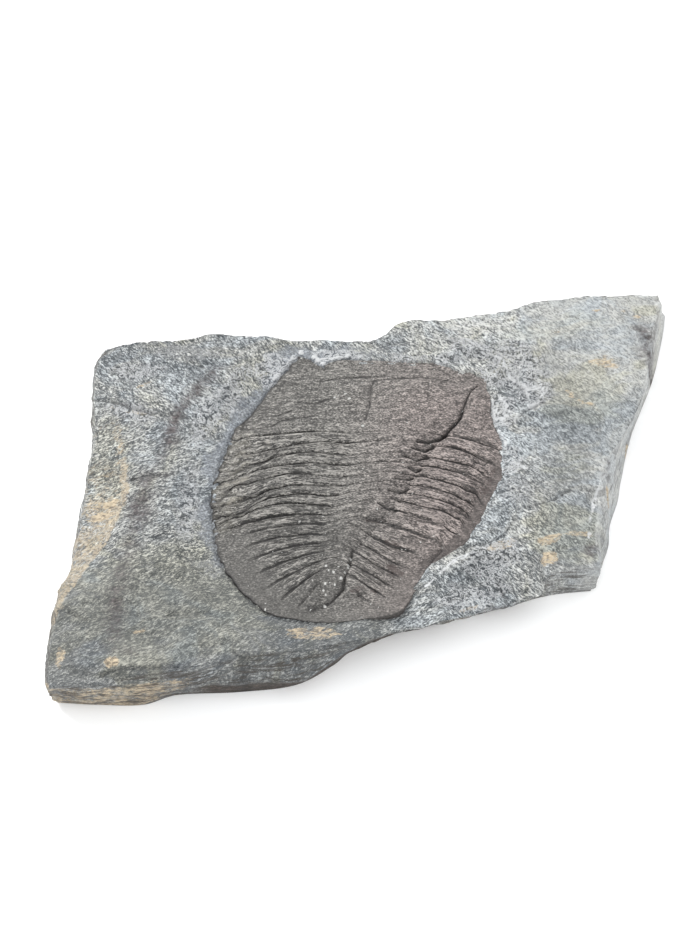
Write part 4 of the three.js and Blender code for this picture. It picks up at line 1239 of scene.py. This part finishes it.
def make_mottle_group():
    """Grain between two tones, with more bright flecks than dark ones, painted darker where its height is
    low and paler where it is high. Level 0 is all dark, 1 all pale.
    """
    group, given, wanted = new_group(
        "stone_mottle",
        [("Coordinates", "Vector"), ("Dark Tone", "Color"), ("Pale Tone", "Color"), ("Level", "Float"),
         ("Contrast", "Float"), ("Lines", "Float")],
        [("Color", "Color"), ("Height", "Float")],
    )
    relief = noise_map(group, given["Coordinates"], RELIEF_SCALE, 4.0, 0.6, 0.9)
    fine = noise_map(group, given["Coordinates"], GRAIN_SCALE, 1.0, 0.5)
    mixed = times(group, relief, 0.4)
    mixed = plus(group, mixed, times(group, fine, 0.6))
    centred = minus(group, mixed, 0.5)
    strong = times(group, centred, given["Contrast"])
    ledge = noise_map(group, given["Coordinates"], FLAKE_SCALE, 3.0, 0.6, 1.2)
    pale_line = thin_line(group, ledge, 0.47, 0.04)
    dark_line = times(group, thin_line(group, ledge, 0.56, 0.03), 0.25)
    lines = times(group, minus(group, pale_line, dark_line), given["Lines"])
    # The colour follows the height: painted shade in low places and painted highlight on raised flake edges.
    factor = plus(group, plus(group, strong, given["Level"]), lines, clamp=True)
    factor = math_node(group, "POWER", factor, EYE_POWER)
    group.links.new(blend(group, factor, given["Dark Tone"], given["Pale Tone"]), wanted["Color"])
    lifted = plus(group, mixed, times(group, lines, 0.3))
    group.links.new(lifted, wanted["Height"])
    return group


def make_ragged_group():
    """Breaks the edge of a soft mask into grains and streaks."""
    group, given, wanted = new_group(
        "ragged_edge",
        [("Coordinates", "Vector"), ("Mask", "Float"), ("Scale", "Float")],
        [("Mask", "Float")],
    )
    texture = add_node(group, "ShaderNodeTexNoise")
    texture.inputs["Detail"].default_value = 4.0
    texture.inputs["Roughness"].default_value = 0.7
    texture.inputs["Distortion"].default_value = 0.8
    group.links.new(given["Coordinates"], texture.inputs["Vector"])
    group.links.new(given["Scale"], texture.inputs["Scale"])
    grain = times(group, minus(group, texture.outputs["Fac"], 0.5), 2.2)
    presence = remap(group, given["Mask"], 0.0, 0.1)
    shifted = plus(group, given["Mask"], times(group, grain, presence))
    group.links.new(remap(group, shifted, 0.3, 0.7), wanted["Mask"])
    return group


mottle_group = make_mottle_group()
ragged_group = make_ragged_group()
print("shared effects:", mottle_group.name, "and", ragged_group.name)


def place_mottle(tree, coordinates, dark, pale, level, contrast, lines):
    """Gives the mottle's colour and height."""
    node = add_node(tree, "ShaderNodeGroup", node_tree=mottle_group)
    tree.links.new(coordinates, node.inputs["Coordinates"])
    node.inputs["Dark Tone"].default_value = dark
    node.inputs["Pale Tone"].default_value = pale
    node.inputs["Lines"].default_value = lines
    feed(tree, node, "Contrast", contrast)
    feed(tree, node, "Level", level)
    return node.outputs["Color"], node.outputs["Height"]


def place_ragged(tree, coordinates, mask, scale):
    node = add_node(tree, "ShaderNodeGroup", node_tree=ragged_group)
    tree.links.new(coordinates, node.inputs["Coordinates"])
    feed(tree, node, "Mask", mask)
    node.inputs["Scale"].default_value = scale
    return node.outputs["Mask"]


def mask_value(tree, name, share=1.0):
    value = add_node(tree, "ShaderNodeAttribute", attribute_name=name).outputs["Fac"]
    return value if share == 1.0 else times(tree, value, share)


def new_material(name, roughness):
    material = bpy.data.materials.new(name)
    material.use_nodes = True
    tree = material.node_tree
    shader = tree.nodes["Principled BSDF"]
    shader.inputs["Roughness"].default_value = roughness
    coordinates = add_node(tree, "ShaderNodeTexCoord").outputs["Object"]
    return material, tree, shader, coordinates


def add_bump(tree, shader, height, distance):
    """Lights the surface as if the height stood out by this many mm."""
    bump = add_node(tree, "ShaderNodeBump")
    bump.inputs["Strength"].default_value = 1.0
    bump.inputs["Distance"].default_value = distance * MM
    tree.links.new(height, bump.inputs["Height"])
    tree.links.new(bump.outputs["Normal"], shader.inputs["Normal"])


# %% [markdown]
# ## The shell's lines
# Each joint of the shell shows a hairline of shadow with a thin highlight behind it, and finer
# wrinkles run beside it. They are too thin for the mesh, so the finish paints them as painted
# shadow and painted highlight. The mesh keeps every point's station instead, and the finish draws a
# line wherever the station is a whole number, so the lines bend with the segments.

# %% Fine lines along the shell
def joint_lines(tree, coordinates):
    """The painted shadow line at each joint and the painted highlight behind it, from the station kept on
    the mesh.
    """
    wander = minus(tree, noise_map(tree, coordinates, 700.0, 3.0, 0.6), 0.5)
    crooked = remap(tree, mask_value(tree, "tips"), 0.0, 1.0, 0.1, 0.7)
    station = plus(tree, mask_value(tree, "station"), times(tree, wander, crooked))
    phase = math_node(tree, "FRACT", station)
    off_middle = math_node(tree, "ABSOLUTE", minus(tree, phase, 0.5))
    dark = remap(tree, off_middle, 0.43, 0.47)
    pale = thin_line(tree, phase, 0.125, 0.05)
    return station, dark, pale


def wrinkle_lines(tree, coordinates, station, along, across):
    """Fine pale and dark lines that run beside the joints, the painted highlight and shade of small
    wrinkles: 1 is pale and -1 dark.
    """
    split = add_node(tree, "ShaderNodeSeparateXYZ")
    tree.links.new(coordinates, split.inputs["Vector"])
    join = add_node(tree, "ShaderNodeCombineXYZ")
    tree.links.new(times(tree, split.outputs["X"], along), join.inputs["X"])
    tree.links.new(times(tree, station, across), join.inputs["Y"])
    folds = noise_map(tree, join.outputs["Vector"], 1.0, 3.0, 0.6, 0.3)
    return minus(tree, thin_line(tree, folds, 0.45, 0.05), thin_line(tree, folds, 0.53, 0.05))


# %% [markdown]
# ## The shell's stone
# The shell is brown grey rock of fine grain, warmer on the right, with paler chipped tips on the
# left, dark stains and a few white beads. A cool and a warm mottle are blended across it, and each
# mark is laid over them by the mask that its drawing left on the mesh.

# %% Finish of the shell
SHELL_ROUGHNESS = 0.62
SHELL_BUMP = 0.25


def make_shell_finish():
    material, tree, shader, coordinates = new_material("fossil_shell", SHELL_ROUGHNESS)
    along = place_at(tree, coordinates, (1.1, 0.62, 0.8))
    station, dark, pale = joint_lines(tree, coordinates)
    firm = mask_value(tree, "joint")
    ribbed = mask_value(tree, "ribbed")
    wrinkles = wrinkle_lines(tree, coordinates, station, 190.0, 3.4)
    hairlines = wrinkle_lines(tree, coordinates, station, 320.0, 8.0)
    wrinkles = plus(tree, wrinkles, times(tree, hairlines, 0.8))
    wrinkles = times(tree, wrinkles, ribbed)
    light = remap(tree, mask_value(tree, "light"), 0.0, 1.0, 0.475, 0.985)
    # Painted light and shade on each segment's slope, from the rise mask.
    rise = remap(tree, mask_value(tree, "rise"), 0.0, 1.0, -0.2, 0.2)
    level = plus(tree, light, rise)
    # The wrinkles' painted highlight and shade.
    level = plus(tree, level, times(tree, wrinkles, 0.43))
    # A painted highlight just behind each joint.
    level = plus(tree, level, times(tree, times(tree, pale, firm), 0.32))
    level = minus(tree, level, mask_value(tree, "gutter", 0.14))
    contrast = remap(tree, mask_value(tree, "calm"), 0.0, 1.0, 2.5, 1.25)
    cool = place_mottle(tree, along, seen(58, 56, 54), seen(216, 212, 205), level, contrast, 0.14)[0]
    warm, height = place_mottle(tree, along, seen(62, 55, 53), seen(226, 211, 205), level, contrast, 0.14)
    colour = blend(tree, mask_value(tree, "warm"), cool, warm)
    tips = place_ragged(tree, along, mask_value(tree, "tips", 0.5), 600.0)
    colour = blend(tree, times(tree, tips, 0.3), colour, seen(186, 181, 166))
    blotch = place_ragged(tree, along, mask_value(tree, "blotch", 0.6), 1500.0)
    colour = blend(tree, times(tree, blotch, 0.6), colour, seen(222, 215, 200))
    stain = place_ragged(tree, along, mask_value(tree, "stain", 0.7), 900.0)
    colour = blend(tree, times(tree, stain, 0.8), colour, seen(78, 62, 59))
    # The painted shadow line at each joint.
    line = times(tree, dark, firm)
    colour = blend(tree, times(tree, line, 0.95), colour, seen(27, 25, 24))
    # Painted shadow along the shell's edge.
    colour = blend(tree, mask_value(tree, "margin"), colour, seen(44, 41, 40))
    # Painted shade in the pits, cracks, creases and dents.
    colour = blend(tree, mask_value(tree, "hollow_shade", 0.9), colour, seen(34, 31, 30))
    # Tiny painted glints on the shell. The beads are real white grains.
    painted_glints = remap(tree, noise_map(tree, coordinates, 2600.0, 0.0), 0.82, 0.85)
    bead = remap(tree, mask_value(tree, "bead"), 0.25, 0.5)
    colour = blend(tree, math_node(tree, "MAXIMUM", bead, painted_glints), colour, seen(236, 236, 232))
    tree.links.new(colour, shader.inputs["Base Color"])
    relief = plus(tree, height, times(tree, wrinkles, 0.25))
    relief = minus(tree, relief, times(tree, line, 0.6))
    add_bump(tree, shader, relief, SHELL_BUMP)
    return material


shell.data.materials.append(make_shell_finish())
print("the shell's finish has", len(shell.data.materials[0].node_tree.nodes), "nodes")

# %% [markdown]
# ## The slab's bare rock
# The split face is flaky, and its flakes lean one way in some patches and the other way in others.
# Two mottles are stretched along the two directions, and a mask swaps one for the other. Where a
# tool bruised the rock there are crinkled white flakes with dark gaps beside them.

# %% Bare rock of the slab
def lay_streaks(tree, coordinates, dark, pale, level, contrast, lines):
    """A mottle whose streaks run down to the right in some patches and up to the right in others."""
    sloping = place_at(tree, coordinates, (2.0, 0.7, 0.9), -0.8)
    flat = place_at(tree, coordinates, (1.8, 0.72, 0.9), 0.5)
    first, first_height = place_mottle(tree, flat, dark, pale, level, contrast, lines)
    second, second_height = place_mottle(tree, sloping, dark, pale, level, contrast, lines)
    steep = mask_value(tree, "steep")
    height = add_node(tree, "ShaderNodeMix", data_type="FLOAT")
    tree.links.new(steep, height.inputs["Factor"])
    tree.links.new(first_height, height.inputs[2])
    tree.links.new(second_height, height.inputs[3])
    return blend(tree, steep, first, second), height.outputs[0]


def bare_rock(tree, coordinates):
    """Grey rock with bluish and greenish patches. Where it is calm its streaks are fainter."""
    dark, light = seen(84, 89, 92), seen(285, 286, 281)
    drift = remap(tree, noise_map(tree, coordinates, 90.0, 5.0, 0.65), 0.3, 0.7, -0.17, 0.17)
    pale = plus(tree, mask_value(tree, "pale"), drift)
    pale = minus(tree, pale, mask_value(tree, "flaky", 0.5))
    level = remap(tree, pale, 0.0, 1.0, 0.29, 0.8)
    streaky, height = lay_streaks(tree, coordinates, dark, light, level, 2.9, 0.62)
    even = blend(tree, math_node(tree, "POWER", level, EYE_POWER), dark, light)
    colour = blend(tree, mask_value(tree, "calm"), streaky, even)
    patches = noise_map(tree, coordinates, 85.0, 4.0, 0.6, 1.2)
    blue = math_node(tree, "MAXIMUM", remap(tree, patches, 0.5, 0.62), mask_value(tree, "blue"))
    green = math_node(tree, "MAXIMUM", remap(tree, patches, 0.46, 0.36), mask_value(tree, "green"))
    colour = blend(tree, blue, colour, (0.88, 0.93, 1.0, 1.0), "MULTIPLY")
    colour = blend(tree, green, colour, (1.0, 0.98, 0.88, 1.0), "MULTIPLY")
    return colour, height


def white_flakes(tree, coordinates):
    """Crinkled white flakes with dark gaps beside them, where the rock was bruised by a tool."""
    warped = noise_map(tree, coordinates, 760.0, 2.5, 0.6, 2.0)
    flaky = remap(tree, mask_value(tree, "flaky"), 0.0, 0.6)
    first, second = thin_line(tree, warped, 0.5, 0.034), thin_line(tree, warped, 0.58, 0.036)
    flakes = times(tree, math_node(tree, "MAXIMUM", first, second), 1.5, clamp=True)
    gaps = remap(tree, warped, 0.475, 0.44)
    return times(tree, flakes, flaky), times(tree, gaps, flaky)


# %% [markdown]
# ## The slab's stone
# Over the bare rock come the marks: painted light on the right wall, the smooth scraped bank, the
# ochre of the chip and the rust spots, the purple streaks, the brown foot of the front wall with
# painted shadow under its upper bed, the white bruises, painted shade in the cracks and along the
# shell's edge, and last the bedding lines of the walls.

# %% Finish of the slab
SLAB_ROUGHNESS = 0.75
SLAB_BUMP = 0.28
WALL_PAINTED_LIGHT = (0.86, 0.87, 0.86, 1.0)


def make_slab_finish():
    material, tree, shader, coordinates = new_material("mudstone", SLAB_ROUGHNESS)
    streaks = place_at(tree, coordinates, (2.0, 1.0, 0.6), 0.1)
    colour, height = bare_rock(tree, coordinates)
    # Painted light on the right wall.
    colour = blend(tree, mask_value(tree, "rim_light", 0.22), colour, WALL_PAINTED_LIGHT)
    bank_tones = (seen(84, 91, 101), seen(222, 229, 238))
    smooth_rock = place_mottle(tree, coordinates, *bank_tones, 0.68, 2.0, 0.2)[0]
    colour = blend(tree, mask_value(tree, "bank", 0.75), colour, smooth_rock)
    cream = place_mottle(tree, streaks, seen(130, 118, 102), seen(262, 240, 205), 0.9, 3.0, 0.45)[0]
    leaning = place_at(tree, coordinates, (1.6, 0.9, 0.9), 0.7)
    torn = place_ragged(tree, leaning, mask_value(tree, "chip"), 1300.0)
    colour = blend(tree, times(tree, torn, 0.62), colour, cream)
    ochre = place_ragged(tree, streaks, mask_value(tree, "ochre"), 1500.0)
    colour = blend(tree, times(tree, ochre, 0.9), colour, cream)
    plum = place_mottle(tree, streaks, seen(58, 52, 54), seen(165, 152, 152), 0.59, 2.1, 0.2)[0]
    patchy = noise_map(tree, coordinates, 700.0, 4.0, 0.6, 0.4)
    purple = times(tree, mask_value(tree, "purple"), remap(tree, patchy, 0.35, 0.6, 0.35, 1.0))
    colour = blend(tree, times(tree, purple, 0.95), colour, plum)
    # Brown rock at the foot of the front wall, darker as painted shadow under the upper bed.
    shadowed_earth = place_mottle(tree, streaks, seen(54, 48, 46), seen(150, 136, 126), 0.63, 2.1, 0.2)[0]
    colour = blend(tree, mask_value(tree, "under"), colour, shadowed_earth)
    bruise = place_ragged(tree, coordinates, mask_value(tree, "bruise"), 2000.0)
    flakes, gaps = white_flakes(tree, coordinates)
    colour = blend(tree, times(tree, gaps, 0.45), colour, seen(70, 74, 80))
    white = math_node(tree, "MAXIMUM", bruise, flakes)
    colour = blend(tree, times(tree, white, 0.9), colour, seen(262, 264, 266))
    # Painted shade in the crevices and along the shell's edge.
    colour = blend(tree, mask_value(tree, "hollow_shade", 0.8), colour, seen(56, 58, 62))
    bedding = noise_map(tree, place_at(tree, coordinates, (5.0, 5.0, 0.5)), 1100.0, 5.0, 0.65, 0.6)
    on_wall = times(tree, remap(tree, bedding, 0.5, 0.42), mask_value(tree, "wall", 0.85))
    colour = blend(tree, on_wall, colour, seen(84, 77, 70))
    tree.links.new(colour, shader.inputs["Base Color"])
    add_bump(tree, shader, height, SLAB_BUMP)
    return material


slab.data.materials.append(make_slab_finish())
print("the slab's finish has", len(slab.data.materials[0].node_tree.nodes), "nodes")

# %% [markdown]
# ## The floor
# The slab lies on a plain pale sheet, which is wide enough to have no edge in view. It is only a
# stage and isn't part of the object.

# %% Floor
FLOOR_HALF_WIDTH = 1500.0
FLOOR_DROP = 0.05


def make_floor():
    tray = bmesh.new()
    bmesh.ops.create_grid(tray, x_segments=8, y_segments=8, size=FLOOR_HALF_WIDTH * MM)
    bmesh.ops.translate(tray, vec=(0.0, 0.0, -FLOOR_DROP * MM), verts=tray.verts)
    mesh = bpy.data.meshes.new("floor")
    tray.to_mesh(mesh)
    tray.free()
    floor = bpy.data.objects.new("floor", mesh)
    bpy.context.scene.collection.objects.link(floor)
    material, tree, shader, coordinates = new_material("white_sheet", 0.9)
    cloud = noise_map(tree, coordinates, 6.0, 3.0)
    colour = blend(tree, cloud, (0.92, 0.92, 0.92, 1.0), (0.95, 0.95, 0.95, 1.0))
    tree.links.new(colour, shader.inputs["Base Color"])
    mesh.materials.append(material)


make_floor()
print("the floor is", 2 * FLOOR_HALF_WIDTH, "mm wide")
